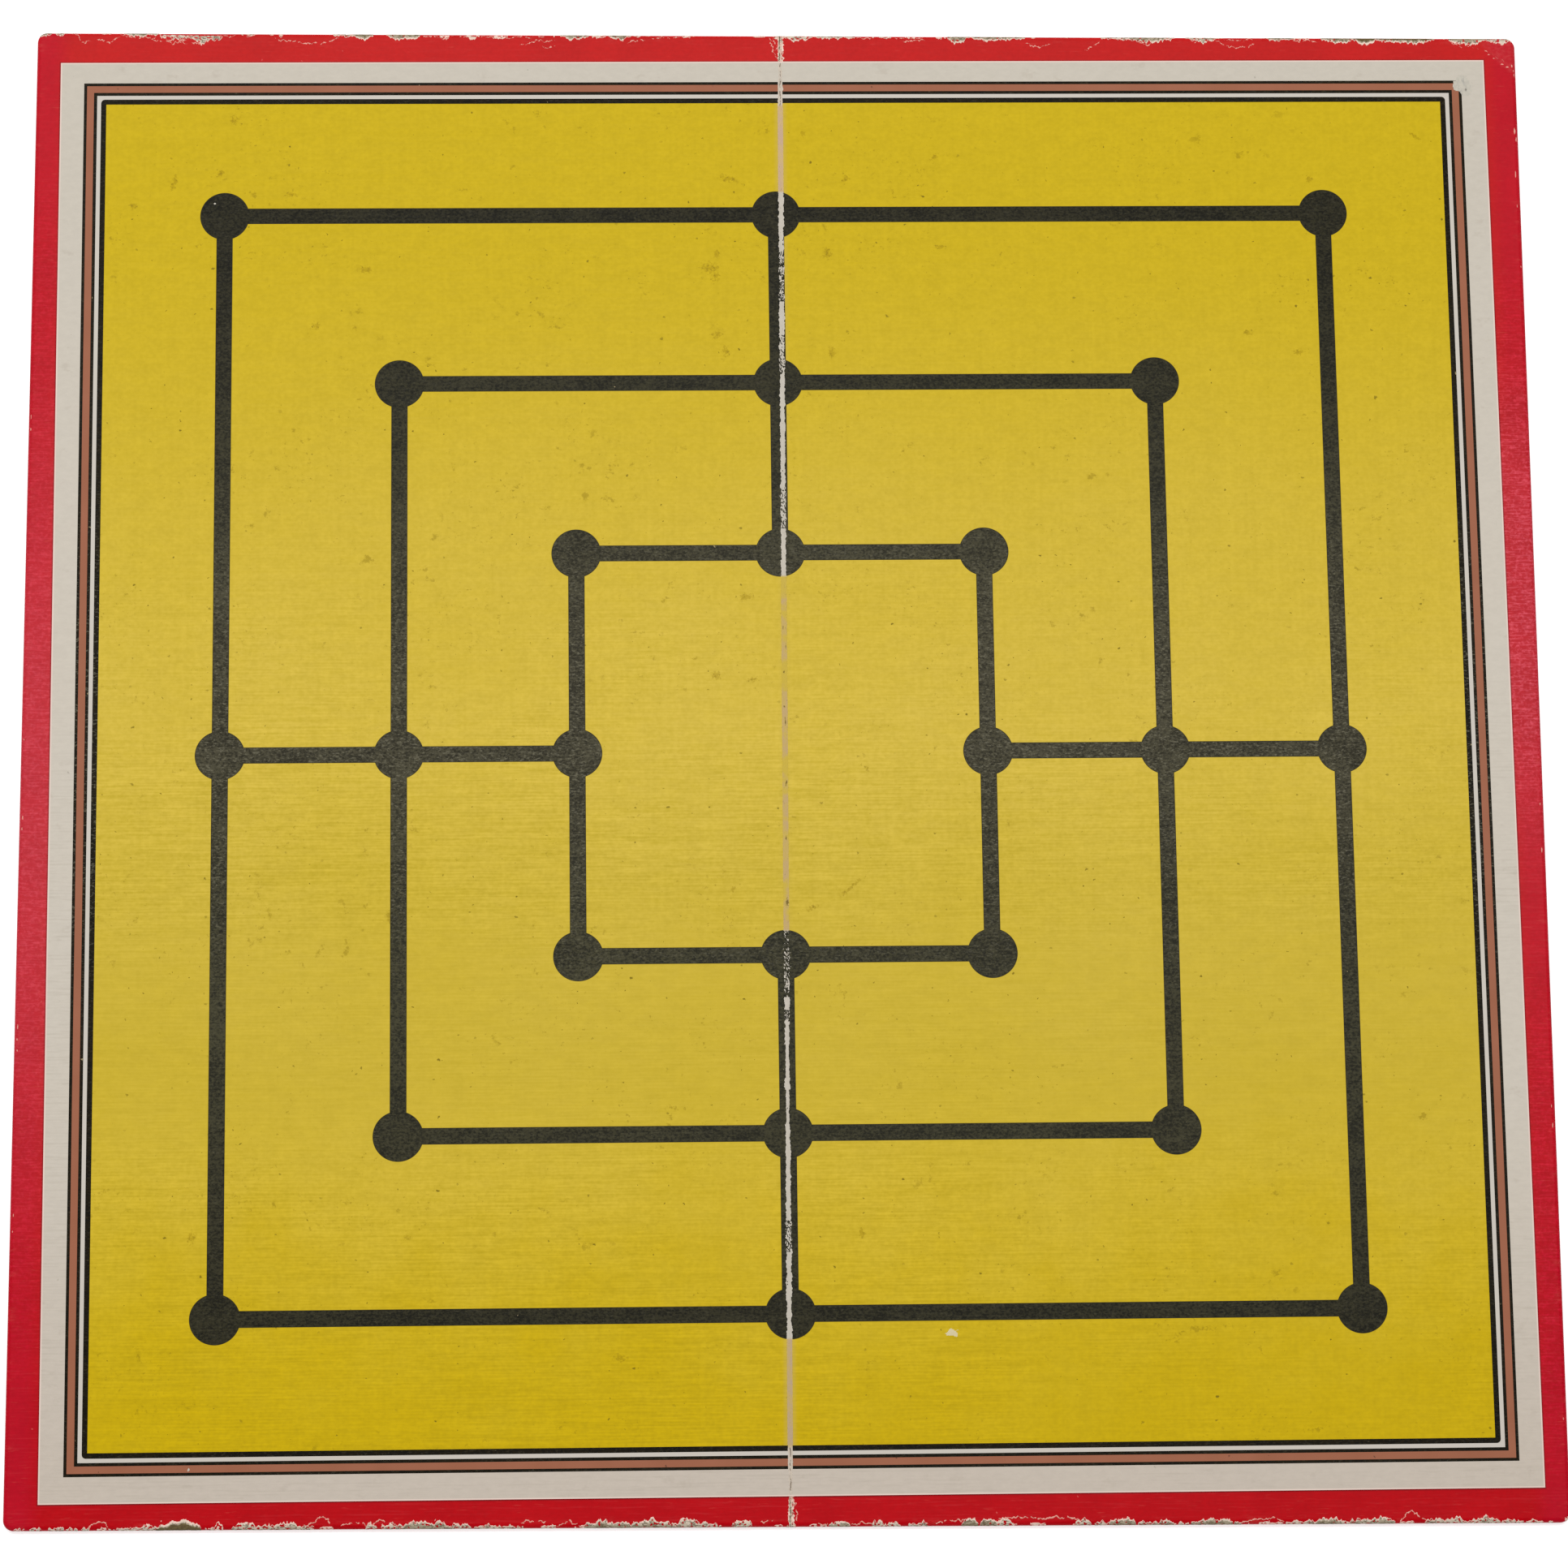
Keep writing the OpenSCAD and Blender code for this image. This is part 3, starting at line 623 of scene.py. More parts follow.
def label_paper(name, turn, shift):
    """Off-white paper of the label, with the bare fold in it, and a painted highlight along its cut rim.
    """
    finish = Finish(name, turn, shift)
    ribs = linen(finish)
    share = rib_share(finish, 0.4, 1.0)
    cloud = finish.grain(22.0, 4.0, (1, 1, 1), 6.0)
    finish.colour = finish.mixed(cloud, paint(209, 201, 188), paint(208, 198, 183))
    # Darker towards the far end and the near end, paler between: painted sheen.
    finish.lay(finish.y.step(20.0, 145.0) * 0.8, 203, 195, 181)
    finish.lay(finish.y.step(-60.0, -150.0) * 0.8, 201, 188, 174)
    finish.tone(finish.grain(0.9, 4.0, (1.8, 1, 1), 13.0, 0.65), 0.97, 1.03)
    threads = ribs.step(0.52, 0.34) * share.step(0.4, 1.0, 0.0, 0.3)
    finish.lay(threads, 180, 170, 154)
    finish.lay(finish.specks(7.0, 0.5, 0.25, 31.0) * 0.5, 150, 142, 128)
    rubs = finish.grain(3.0, 3.0, (1.6, 1, 1), 41.0, 0.7).step(0.6, 0.72) * 0.22
    finish.lay(rubs, 176, 164, 148)
    in_fold = abs(finish.board_x).step(0.66, 0.5)
    inside = abs(finish.board_y).step(139.3, 139.0)
    finish.colour = finish.mixed(in_fold * inside, finish.colour, crease_tint(finish))
    cut_edge = finish.most(abs(finish.x), abs(finish.y + shift))
    printed_edge = finish.most(abs(finish.x), abs(finish.y))
    bare_band = (printed_edge.step(FIELD_HALF + 0.8, FIELD_HALF + 1.1)
                 * printed_edge.step(FIELD_HALF + 2.0, FIELD_HALF + 1.8))
    finish.lay(bare_band * 0.85, 208, 201, 191)
    # Paler pinkish line along the cut edge: a painted highlight where the edge catches the light.
    rim = cut_edge.step(LABEL_HALF - 0.34, LABEL_HALF - 0.14)
    finish.lay(rim * 0.9, 238, 214, 202)
    return finish.made(0.5, 0.12, label_wear(finish, ribs * share), 0.014, 0.7)


def painted_ripple_glints(finish, on_left, on_right):
    """Painted glints on fine ripples at the red paper's sides, most of all on the right."""
    peel = finish.grain(0.6, 3.0, (1.1, 1, 1), 45.0, 0.7).step(0.48, 0.64, -0.5, 1.4)
    streaks = finish.grain(0.34, 2.0, (9.0, 1, 1), 52.0, 0.6).step(0.48, 0.64, -0.5, 1.5)
    ripple_glints = peel * 0.6 + streaks * 0.5
    upper = abs(finish.y - 38.0).step(78.0, 28.0)
    lower = abs(finish.y + 90.0).step(70.0, 20.0, 0.0, 0.7)
    right = finish.most(upper, lower) * on_right
    left = abs(finish.y).step(135.0, 95.0, 0.0, 0.55) * on_left
    at_side = abs(finish.x).step(141.0, 144.5, 0.0, 0.2)
    tone = ripple_glints * ((right + left) * at_side)
    finish.multiply(1.0 + tone, 1.0 + tone * 4.4, 1.0 + tone * 4.2)


def red_paper(name):
    """Red printed sheet with the linen emboss. It is rubbed pink along the wrapped edges."""
    finish = Finish(name)
    ribs = linen(finish)
    mottle = finish.grain(11.0, 4.0, (1, 1, 1), 3.0, 0.6)
    near_end = (finish.y + mottle * 50.0).step(0.0, -130.0)
    finish.colour = finish.mixed(near_end, paint(196, 30, 29), paint(186, 0, 14))
    across = abs(finish.x)
    finish.lay(across.step(142.0, 147.0) * 0.6, 189, 10, 40)
    on_right = finish.x.step(-1.0, 1.0)
    on_left = finish.x.step(1.0, -1.0)
    glare = abs(finish.y - 30.0).step(62.0, 14.0, 0.0, 0.5)
    finish.lay(glare * on_right, 208, 74, 86)
    glare = abs(finish.y + 8.0).step(105.0, 10.0, 0.0, 0.46)
    finish.lay(glare * on_left, 208, 72, 84)
    finish.tone(mottle, 0.95, 1.05)
    share = rib_share(finish, 0.25, 1.0)
    finish.tone(paper_grain(finish), 0.95, 1.05)
    finish.lay(ribs.step(0.5, 0.68) * (share * 0.17), 212, 66, 72)
    # Painted glints on the red paper's sides.
    painted_ripple_glints(finish, on_left, on_right)
    near_edge = finish.most(across, abs(finish.y)).step(BOARD_HALF - 2.6, BOARD_HALF - 0.1)
    scuffs = finish.grain(1.8, 4.0, (2.0, 1, 1), 15.0, 0.7).step(0.54, 0.74)
    finish.lay(near_edge * scuffs * 0.35, 208, 78, 74)
    uneven = (finish.grain(1.6, 3.0, (1, 1, 1), 25.0, 0.65) - 0.5) * 3.0
    corner = (finish.x + finish.y + uneven).step(290.6, 291.8)
    scraped = finish.grain(0.8, 4.0, (1.4, 1, 1), 25.0, 0.75).step(0.42, 0.66, 0.25, 1.0)
    finish.lay(corner * scraped * 0.5, 206, 70, 72)
    lines = finish.grain(0.4, 3.0, (9.0, 1, 1), 35.0, 0.6).step(0.62, 0.74)
    finish.lay(lines * 0.3, 210, 76, 68)
    finish.lay(finish.specks(8.0, 0.4, 0.25, 27.0) * 0.6, 222, 106, 98)
    # A dark line on the red just outside the label: painted shadow at the foot of the label's step.
    label_x, label_y = finish.parted(finish.placed(finish.mm, (1, 1, 1), turn=-LABEL_TURN))[:2]
    beside = finish.most(abs(label_x), abs(label_y))
    on_top = finish.z.step(BORDER_TOP - 0.1, BORDER_TOP - 0.05)
    step_shadow = beside.step(LABEL_HALF + 0.42, LABEL_HALF + 0.12) * on_top
    finish.lay(step_shadow * 0.5, 96, 10, 18)
    return finish.made(ribs.step(0.34, 0.66, 0.42, 0.36), 0.06, ribs, 0.018, 0.7)


def greyboard(name):
    """Grey pulp of the panels, with darker fibres."""
    finish = Finish(name)
    pulp = finish.grain(0.9, 5.0, (2.2, 2.2, 0.5), 5.0, 0.7)
    fibres = finish.specks(1.6, 0.4, 0.3, 2.0, (2.0, 1, 1))
    finish.colour = finish.mixed(pulp, paint(150, 140, 120), paint(112, 100, 78))
    finish.lay(fibres * 0.5, 86, 74, 58)
    return finish.made(0.9, 0.2, pulp, 0.12, 0.7)


def strip_cloth(name):
    """Plain woven cotton, with a thread every half millimetre each way."""
    finish = Finish(name)
    weft = waves(finish, "X", CLOTH_PITCH, Distortion=0.6)
    warp = waves(finish, "Y", CLOTH_PITCH, Distortion=0.6)
    cloth = weft * warp
    finish.colour = paint(208, 198, 176)
    finish.tone(cloth, 0.72, 1.05)
    finish.lay(finish.grain(6.0, 3.0) * 0.4, 176, 160, 130)
    return finish.made(0.85, 0.2, cloth, 0.08, 0.8)


def torn_paper(name, lip, mixing):
    """Torn layers: a pale pinkish lip, then cream paper, then greyboard, by the piece's own tone.
    mixing says how far grain carries one layer into the next."""
    finish = Finish(name)
    tone = finish.add("ShaderNodeAttribute", attribute_type="GEOMETRY", attribute_name="tone")["Fac"]
    rough = finish.grain(0.45, 4.0, (1.4, 1, 1), 3.0, 0.7)
    depth = tone + (rough - 0.5) * mixing
    finish.colour = finish.mixed(depth.step(0.04, 0.26), lip, paint(224, 208, 188))
    finish.lay(depth.step(0.34, 0.66), 174, 160, 136)
    finish.lay(depth.step(0.7, 1.0), 112, 97, 62)
    # Thin dark lines in the deeper torn layers: painted shade in crevices.
    vein = abs(finish.grain(0.9, 3.0, (1.7, 1, 1), 71.0, 0.6) - 0.5)
    crevice_shade = vein.step(0.05, 0.02) * tone.step(0.12, 0.3)
    finish.lay(crevice_shade * 0.75, 92, 74, 50)
    red_bits = finish.grain(0.6, 3.0, (1.3, 1, 1), 33.0, 0.6).step(0.62, 0.68)
    shallow = depth.step(0.5, 0.2)
    finish.lay(red_bits * shallow * 0.85, 190, 54, 52)
    return finish.made(0.85, 0.2, rough, 0.1, 0.9)


def crease_paper(name):
    """Bare paper that stands along the fold."""
    finish = Finish(name)
    fibres = finish.grain(0.3, 4.0, (0.6, 2.2, 1), 9.0, 0.7)
    finish.colour = crease_tint(finish)
    return finish.made(0.8, 0.25, fibres, 0.03, 0.8)


def scuffed_paper(name):
    """Label paper where the print came off at a corner, with soft grey dirt in it."""
    finish = Finish(name)
    cloud = finish.grain(1.0, 3.0, (1, 1, 1), 3.0, 0.6)
    finish.colour = finish.mixed(cloud.step(0.3, 0.7), paint(206, 199, 184), paint(196, 190, 176))
    from_middle = abs(finish.x - 138.9) * 0.5 + abs(finish.y - 139.6) * 0.36
    dirt = finish.grain(0.8, 3.0, (0.8, 1.6, 1), 9.0, 0.65).step(0.42, 0.66)
    finish.lay(from_middle.step(1.25, 0.2) * dirt * 0.8, 166, 163, 155)
    near_speck = abs(finish.x - 139.53) + abs(finish.y - 138.8) * 0.6
    finish.lay(near_speck.step(0.34, 0.1) * 0.75, 110, 104, 96)
    yellowed = abs(finish.x - 31.5).step(6.0, 5.0, 0.0, 0.8)
    finish.lay(yellowed, 222, 206, 158)
    return finish.made(0.75, 0.2, cloud, 0.02, 0.8)


def dress(node, finish):
    """Gives both halves of a CAD part a finish in place of the plain one they were packed with."""
    for half in ("left", "right"):
        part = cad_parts[node + "_" + half]
        for place in part.material_slots:
            place.material = finish.material
        if not part.material_slots:
            part.data.materials.append(finish.material)


on_label = (LABEL_TURN, PRINT_Y)
on_back = (0.0, 0.0)
dress("label", label_paper("label_paper", *on_label))
dress("label_yellow", yellow_printing("yellow_printing", *on_label, 1.0, True))
dress("label_brown", brown_printing("brown_printing", *on_label))
dress("label_black", black_printing("black_printing", *on_label))
dress("back_sheet", red_paper("red_paper"))
dress("back_ground", label_paper("back_paper", *on_back))
dress("back_yellow", yellow_printing("back_yellow_printing", *on_back, 0.6, False))
dress("back_brown", brown_printing("back_brown_printing", *on_back))
dress("back_black", black_printing("back_black_printing", *on_back))
dress("core", greyboard("greyboard"))
dress("hinge_strip", strip_cloth("strip_cloth"))


def wander(value, seed, size):
    """A smooth random number from -1 to 1 that changes over size millimetres."""
    return noise.noise(Vector((value / size, seed * 3.17, seed * 1.31)))


def blotch(x, y, wide, high, seed):
    """A smooth random number from -1 to 1 over a surface, in patches of wide by high millimetres."""
    return noise.noise(Vector((x / wide, y / high, seed)))


def at_rim(*shares):
    """Whether a point of a piece, by its shares from 0 to 1, is on the piece's outer edge."""
    return any(share < 0.001 or share > 0.999 for share in shares)


def run_in(inset):
    """Path length over the wrapped edge, from its upper tangent line, to a place inset from the edge."""
    if inset >= EDGE_R:
        return EDGE_R - inset
    return EDGE_R * math.asin(1 - inset / EDGE_R)


def on_edge(end, across, run, lift):
    """Place on the border at one end of the board, in metres. across is the distance along that
    end from the fold, run the path length outwards over the edge, lift the height over it."""
    quarter = EDGE_R * math.pi / 2
    if run <= 0:
        inset, height, out, up = EDGE_R - run, BORDER_TOP, 0.0, 1.0
    elif run <= quarter:
        angle = run / EDGE_R
        inset = EDGE_R * (1 - math.sin(angle))
        height = BORDER_TOP - EDGE_R * (1 - math.cos(angle))
        out, up = math.sin(angle), math.cos(angle)
    else:
        inset, height, out, up = 0.0, BORDER_TOP - EDGE_R - (run - quarter), 1.0, 0.0
    inset -= lift * out
    height += lift * up
    straight = BOARD_HALF - CORNER_R
    past = abs(across) - straight
    if past <= 0:
        return Vector((across, end * (BOARD_HALF - inset), height)) * MM
    turn = past / CORNER_R
    reach = CORNER_R - inset
    x = math.copysign(straight + reach * math.sin(turn), across)
    return Vector((x, end * (straight + reach * math.cos(turn)), height)) * MM


def top_at(x, y):
    """Height of the board's upper surface in millimetres."""
    out = max(abs(x), abs(y))
    if out < LABEL_HALF:
        return LABEL_TOP
    inset = max(0.0, BOARD_HALF - out)
    if inset >= EDGE_R:
        return BORDER_TOP
    return BORDER_TOP - EDGE_R + math.sqrt(EDGE_R ** 2 - (EDGE_R - inset) ** 2)


def pick(pieces):
    """Selects these pieces and nothing else, the first of them active."""
    bpy.ops.object.select_all(action="DESELECT")
    for piece in pieces:
        piece.select_set(True)
    bpy.context.view_layer.objects.active = pieces[0]


def joined(pieces, name):
    pick(pieces)
    if len(pieces) > 1:
        bpy.ops.object.join()
    pieces[0].name = name


def turn_over(piece):
    """Turns a closed piece's faces outwards."""
    pick([piece])
    bpy.ops.object.mode_set(mode="EDIT")
    bpy.ops.mesh.select_all(action="SELECT")
    bpy.ops.mesh.normals_make_consistent(inside=False)
    bpy.ops.object.mode_set(mode="OBJECT")


def torn_sheet(name, columns, rows, place, thickness, finish):
    """A thin piece of paper: a grid whose points are pushed to their places. place(u, v), with u
    and v from 0 to 1, gives a point and its tone, or None where the paper is gone."""
    bpy.ops.object.select_all(action="DESELECT")
    bpy.ops.mesh.primitive_grid_add(x_subdivisions=columns, y_subdivisions=rows, size=2.0)
    piece = bpy.context.object
    piece.name = name
    mesh = piece.data
    tones = mesh.attributes.new("tone", "FLOAT", "POINT")
    gone = set()
    for point in mesh.vertices:
        found = place((point.co.x + 1) / 2, (point.co.y + 1) / 2)
        if found is None:
            gone.add(point.index)
        else:
            point.co = found[0]
            tones.data[point.index].value = found[1]
    bpy.ops.object.mode_set(mode="EDIT")
    bpy.ops.mesh.select_mode(type="VERT")
    bpy.ops.mesh.select_all(action="DESELECT")
    bpy.ops.object.mode_set(mode="OBJECT")
    for index in gone:
        mesh.vertices[index].select = True
    bpy.ops.object.mode_set(mode="EDIT")
    bpy.ops.mesh.delete(type="VERT")
    bpy.ops.mesh.select_all(action="SELECT")
    bpy.ops.mesh.delete_loose(use_verts=True, use_edges=True, use_faces=False)
    bpy.ops.object.mode_set(mode="OBJECT")
    wall = piece.modifiers.new("paper_thickness", "SOLIDIFY")
    wall.thickness = thickness * MM
    wall.offset = -1.0
    bpy.ops.object.modifier_apply(modifier=wall.name)
    bpy.ops.object.shade_smooth_by_angle(angle=math.radians(50))
    mesh.materials.append(finish.material)
    return piece


torn = torn_paper("torn_paper", paint(250, 216, 200), 0.6)
cracked = torn_paper("cracked_paper", paint(236, 160, 146), 0.34)
creased = crease_paper("crease_paper")
fold_black = black_printing("fold_printing", *on_label)


def tear_at(tears, across):
    """Reach inwards, depth and outer limit of the torn place here, or three noughts."""
    reach, tone, limit = 0.0, 0.0, 0.0
    for start, end, inset, deep, *kept in tears:
        if start < across < end:
            here = inset * math.sin(math.pi * (across - start) / (end - start)) ** 0.4
            if here > reach:
                reach, tone, limit = here, deep, kept[0] if kept else 0.0
    return reach, tone, limit


def torn_edge(name, body, side, end, tears, seed):
    """The torn paper along one end of one half. Its innermost quarter is loose flecks."""
    first, last = 0.35, 149.9
    columns, rows = 1100, 16
    fleck_rows = 0.25

    def place(u, v):
        across = side * (first + (last - first) * (u if side > 0 else 1 - u))
        out = ((v if end > 0 else 1 - v) - fleck_rows) / (1 - fleck_rows)
        reach, tone, limit = tear_at(tears, across)
        rag = 0.4 * wander(across, seed, 1.5) + 0.46 * wander(across, seed + 9, 0.6)
        rag += 0.32 * wander(across, seed + 19, 0.3)
        nick = 0.6 * wander(across, seed + 31, 2.4) + 0.2 * wander(across, seed + 32, 0.7) - 0.02
        if reach > 0:
            rag *= 1 - 0.4 * tone ** 3
            reach = max(0.0, reach * (1 + 0.4 * rag) + 0.8 * rag)
        elif nick > 0.07:
            reach, tone = min(0.5, 1.9 * nick), 0.1
        if reach < max(0.1, limit + 0.2):
            return None
        start = run_in(reach)
        stop = 1.5 + 0.3 * wander(across, seed + 4, 1.4) + 0.2 * wander(across, seed + 5, 0.4)
        if limit > 0:
            limit *= 1 + 0.5 * wander(across, seed + 14, 0.8)
            stop = max(start + 0.12, run_in(limit))
        if out < -0.001:
            run = start + 0.75 * out / fleck_rows * (1 - fleck_rows)
            if blotch(across, run, 0.42, 0.26, seed + 41) < 0.3 - 0.3 * out:
                return None
            return on_edge(end, across, run, 0.03), 0.02
        out = max(0.0, out)
        run = start + (stop - start) * out ** 1.35
        if 0.12 < out and blotch(across, run, 0.55, 0.3, seed + 2) > 0.16 + 0.55 * tone:
            return None
        lip = max(0.0, 1 - abs(out - 0.1) / 0.12)
        fibre = blotch(across, run, 0.28, 0.2, seed) * 0.5 + 0.5
        lift = 0.0 if at_rim(out) else 0.03 + 0.06 * lip + 0.04 * fibre
        paper = 0.12 + 0.14 * tone ** 3
        shade = tone * min(1.0, max(0.0, (out - paper) / 0.25))
        shade += 0.3 * tone * out + 0.3 * wander(across, seed + 24, 1.6) * tone * min(1.0, out * 4)
        return on_edge(end, across, run, lift), max(0.0, shade)

    piece = torn_sheet(name, columns, rows, place, TORN_THICK, torn)
    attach(piece, body)


def cracks(name, body, groups, seed):
    """Fine torn lines in the red paper on one half, each a narrow ridge, as one piece."""
    made = []
    for number, (end, line) in enumerate(groups):
        points = [Vector((across, run_in(inset))) for across, inset in line]
        lengths = [0.0]
        for before, after in zip(points, points[1:]):
            lengths.append(lengths[-1] + (after - before).length)
        total = lengths[-1]

        def along(distance, points=points, lengths=lengths):
            for k in range(len(points) - 1):
                if distance <= lengths[k + 1] or k == len(points) - 2:
                    share = (distance - lengths[k]) / (lengths[k + 1] - lengths[k])
                    return points[k].lerp(points[k + 1], min(1.0, max(0.0, share)))

        def place(u, v, end=end, total=total, own=seed + number, along=along):
            distance = u * total
            ahead = along(min(total, distance + 0.2)) - along(max(0.0, distance - 0.2))
            tangent = ahead.normalized()
            level = Vector((-tangent.y, tangent.x))
            jag = 0.36 * wander(distance, own, 0.8) + 0.26 * wander(distance, own + 20, 0.32)
            half = max(0.03, 0.07 + 0.15 * wander(distance, own + 40, 0.4))
            half *= min(1.0, 0.25 + min(distance, total - distance) / 0.5)
            if wander(distance, own + 80, 0.7) < -0.36:
                return None
            spot = along(distance) + level * (jag + (2 * v - 1) * half)
            lift = 0.0 if at_rim(v) else 0.05
            tone = 0.02 if v > 0.3 else 0.16
            return on_edge(end, spot.x, spot.y, lift), tone

        columns = max(6, int(total / 0.09))
        made.append(torn_sheet(f"{name}_{number}", columns, 2, place, CRACK_THICK, cracked))
        if end == NEAR_END:
            turn_over(made[-1])
    joined(made, name)
    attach(made[0], body)


def fold_lip(name, body, side, end, width, foot, seed):
    """Ragged paper along the slit in the border, on one side of the fold."""
    start = EDGE_R - BORDER_W - 0.1
    stop = 1.7

    def place(u, v):
        out = v if end > 0 else 1 - v
        run = start + (stop - start) * out
        share = u if side > 0 else 1 - u
        rag = 1.0 + 0.8 * wander(run, seed, 1.2) + 0.8 * wander(run, seed + 3, 0.45)
        reach = width * max(0.25, rag) + foot * max(0.0, (run + 0.3) / 2.0) ** 2
        near = FOLD_CUT / 2 + 0.02 + 0.16 * max(0.0, wander(run, seed + 6, 0.7))
        across = side * (near + reach * share)
        crest = max(0.0, 1 - abs(share - 0.35) / 0.4)
        lift = 0.0 if at_rim(share, out) else 0.02 + 0.05 * crest
        if share > 0.25 and blotch(across, run, 0.3, 0.6, seed + 12) > 0.3:
            return None
        tone = 0.04 + 1.6 * max(0.0, 0.3 - share) + 0.5 * max(0.0, wander(run, seed + 8, 0.6))
        tone += 0.35 * max(0.0, (run - 0.2) / 1.5)
        return on_edge(end, across, run, lift), tone

    piece = torn_sheet(name, 9, 80, place, LIP_THICK, torn)
    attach(piece, body)


def border_seam(name, end, width, foot, seed):
    """Torn paper across the slit in the border, with a dark crack."""
    start = EDGE_R - BORDER_W - 0.12
    stop = 1.8

    def place(u, v):
        out = v if end > 0 else 1 - v
        run = start + (stop - start) * out
        half = width + 0.2 * wander(run, seed, 0.9) + 0.14 * wander(run, seed + 1, 0.35)
        half = max(0.2, half) + foot * max(0.0, (run + 3.0) / 4.0) ** 2
        across = 0.08 + 0.12 * wander(run, seed + 2, 1.6) + (2 * u - 1) * half
        crack = abs(across + 0.1 - 0.16 * wander(run, seed + 5, 1.0) - 0.1 * wander(run, seed + 6, 0.4))
        other = abs(across - 0.34 - 0.16 * wander(run, seed + 7, 1.2))
        tone = 0.16 + 1.1 * max(0.0, 1 - crack / 0.17) + 0.6 * max(0.0, 1 - other / 0.08)
        tone *= 0.8 + 0.6 * wander(run, seed + 8, 0.8)
        if abs(across) > 0.26 and blotch(across, run, 0.34, 0.6, seed + 9) > 0.06:
            return None
        lift = 0.0 if at_rim(u, out) else 0.05 + 0.02 * blotch(across, run, 0.2, 0.3, seed)
        return on_edge(end, across, run, lift), max(0.0, tone)

    piece = torn_sheet(name, 16, 70, place, CRACK_THICK, cracked)
    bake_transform(piece)


def fold_wear(y):
    """Half width, missing share and flecks of the worn paper at this place on the fold."""
    for near, far, half, missing, flecks in FOLD_WEAR:
        if near <= y < far:
            return half, missing, flecks
    return 0.4, 0.0, 0.0


def even_wear(y):
    """The same for the printing that is left on the fold: one width, and nothing missing."""
    return 0.6, 0.0, 0.0


def crease(name, z_low, z_high, spans, columns, wear_of, finish, seed):
    """A strip of worn surface over the fold."""
    made = []
    for number, (start, stop) in enumerate(spans):
        rows = int((stop - start) / 0.13)

        def place(u, v, start=start, stop=stop):
            y = start + (stop - start) * v
            half, missing, flecks = wear_of(y)
            reach = 0.6 if flecks == 0 else 0.85
            x = (2 * u - 1) * reach
            y += 0.06 * blotch(x, y, 0.15, 0.2, seed + 21)
            x += 0.04 * blotch(x, y, 0.15, 0.2, seed + 25)
            side = seed + (2 if x > 0 else 7)
            rag = 0.34 * wander(y, side, 1.6) + 0.44 * wander(y, side + 3, 0.5)
            rag += 0.22 * wander(y, side + 5, 0.26)
            edge = half * (1 + rag * (flecks > 0))
            vein = noise.noise(Vector((x / 0.42 + y / 1.3, y / 0.8, seed + 31)))
            if abs(x) > edge + 2 * reach / columns:
                if blotch(x, y, 0.16, 0.45, seed + 11) * 0.5 + 0.5 < 0.88 - 0.2 * flecks:
                    return None
            elif abs(x) > edge:
                x = math.copysign(edge, x)
            elif flecks > 0.55 and abs(vein) < 0.075 * flecks:
                return None
            elif missing > 0:
                hole = blotch(x, y, 0.2, 1.0, seed) * 0.5 + 0.5
                if hole + 0.2 * blotch(x, y, 0.12, 0.25, seed + 5) < missing:
                    return None
            bulk = 0.0 if at_rim(u) else 0.5 + 0.5 * blotch(x, y, 0.2, 0.5, seed + 1)
            return Vector((x, y, z_low + (z_high - z_low) * bulk)) * MM, 0.0

        made.append(torn_sheet(f"{name}_{number}", columns, rows, place, SKIN_THICK, finish))
    joined(made, name)
    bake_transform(made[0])


def scuff(name, body, centre, reach, finish, seed, tone=0.3, inside=None, rag=0.3, cells=26):
    """A small ragged patch on the upper surface, where the surface was rubbed or chipped off."""
    def place(u, v):
        across = (2 * u - 1) * 1.25
        along = (2 * v - 1) * 1.25
        x = centre[0] + across * reach[0]
        y = centre[1] + along * reach[1]
        spread = blotch(x, y, 0.9, 0.9, seed) + blotch(x, y, 0.3, 0.3, seed + 4) * 0.6
        if math.hypot(across, along) > 1 - rag * 0.4 + rag * spread:
            return None
        if inside and not inside(x, y):
            return None
        lift = 0.012 + 0.01 * blotch(x, y, 0.3, 0.3, seed + 9)
        return Vector((x, y, top_at(x, y) + lift)) * MM, tone

    piece = torn_sheet(name, cells, cells, place, SKIN_THICK, finish)
    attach(piece, body)


for side, half in ((-1, "left"), (1, "right")):
    body = half + "_half"
    torn_edge("far_tears_" + half, body, side, FAR_END, FAR_TEARS, 3 + side)
    torn_edge("near_tears_" + half, body, side, NEAR_END, NEAR_TEARS, 13 + side)
    lines = [(FAR_END, line) for line in FAR_CRACKS if line[0][0] * side > 0]
    lines += [(NEAR_END, line) for line in NEAR_CRACKS if line[0][0] * side > 0]
    cracks("paper_cracks_" + half, body, lines, 23 + side)
fold_lip("far_lip_left", "left_half", -1, FAR_END, 0.28, 0.3, 31)
fold_lip("far_lip_right", "right_half", 1, FAR_END, 0.5, 0.2, 37)
fold_lip("near_lip_left", "left_half", -1, NEAR_END, 0.24, 0.7, 41)
fold_lip("near_lip_right", "right_half", 1, NEAR_END, 0.4, 0.2, 43)
border_seam("far_seam", FAR_END, 0.46, 0.42, 61)
border_seam("near_seam", NEAR_END, 0.5, 0.4, 67)

black_spans = [(CONNECTOR_Y - CONNECTOR_FAR, CONNECTOR_Y - CONNECTOR_NEAR),
               (CONNECTOR_Y + CONNECTOR_NEAR, CONNECTOR_Y + CONNECTOR_FAR)]
crease("fold_printing", LABEL_TOP, LABEL_TOP + 0.01, black_spans, 8, even_wear,
       fold_black, 51)
crease("fold_paper", LABEL_TOP + 0.005, LABEL_TOP + 0.045, [(-FOLD_WEAR_END, FOLD_WEAR_END)], 22,
       fold_wear, creased, 57)


def on_corner(x, y):
    """Inside the slanting, ragged limit of the scuffed corner."""
    return x + y > 276.1 + 0.7 * wander(x - y, 5, 1.2) and x > 136.45


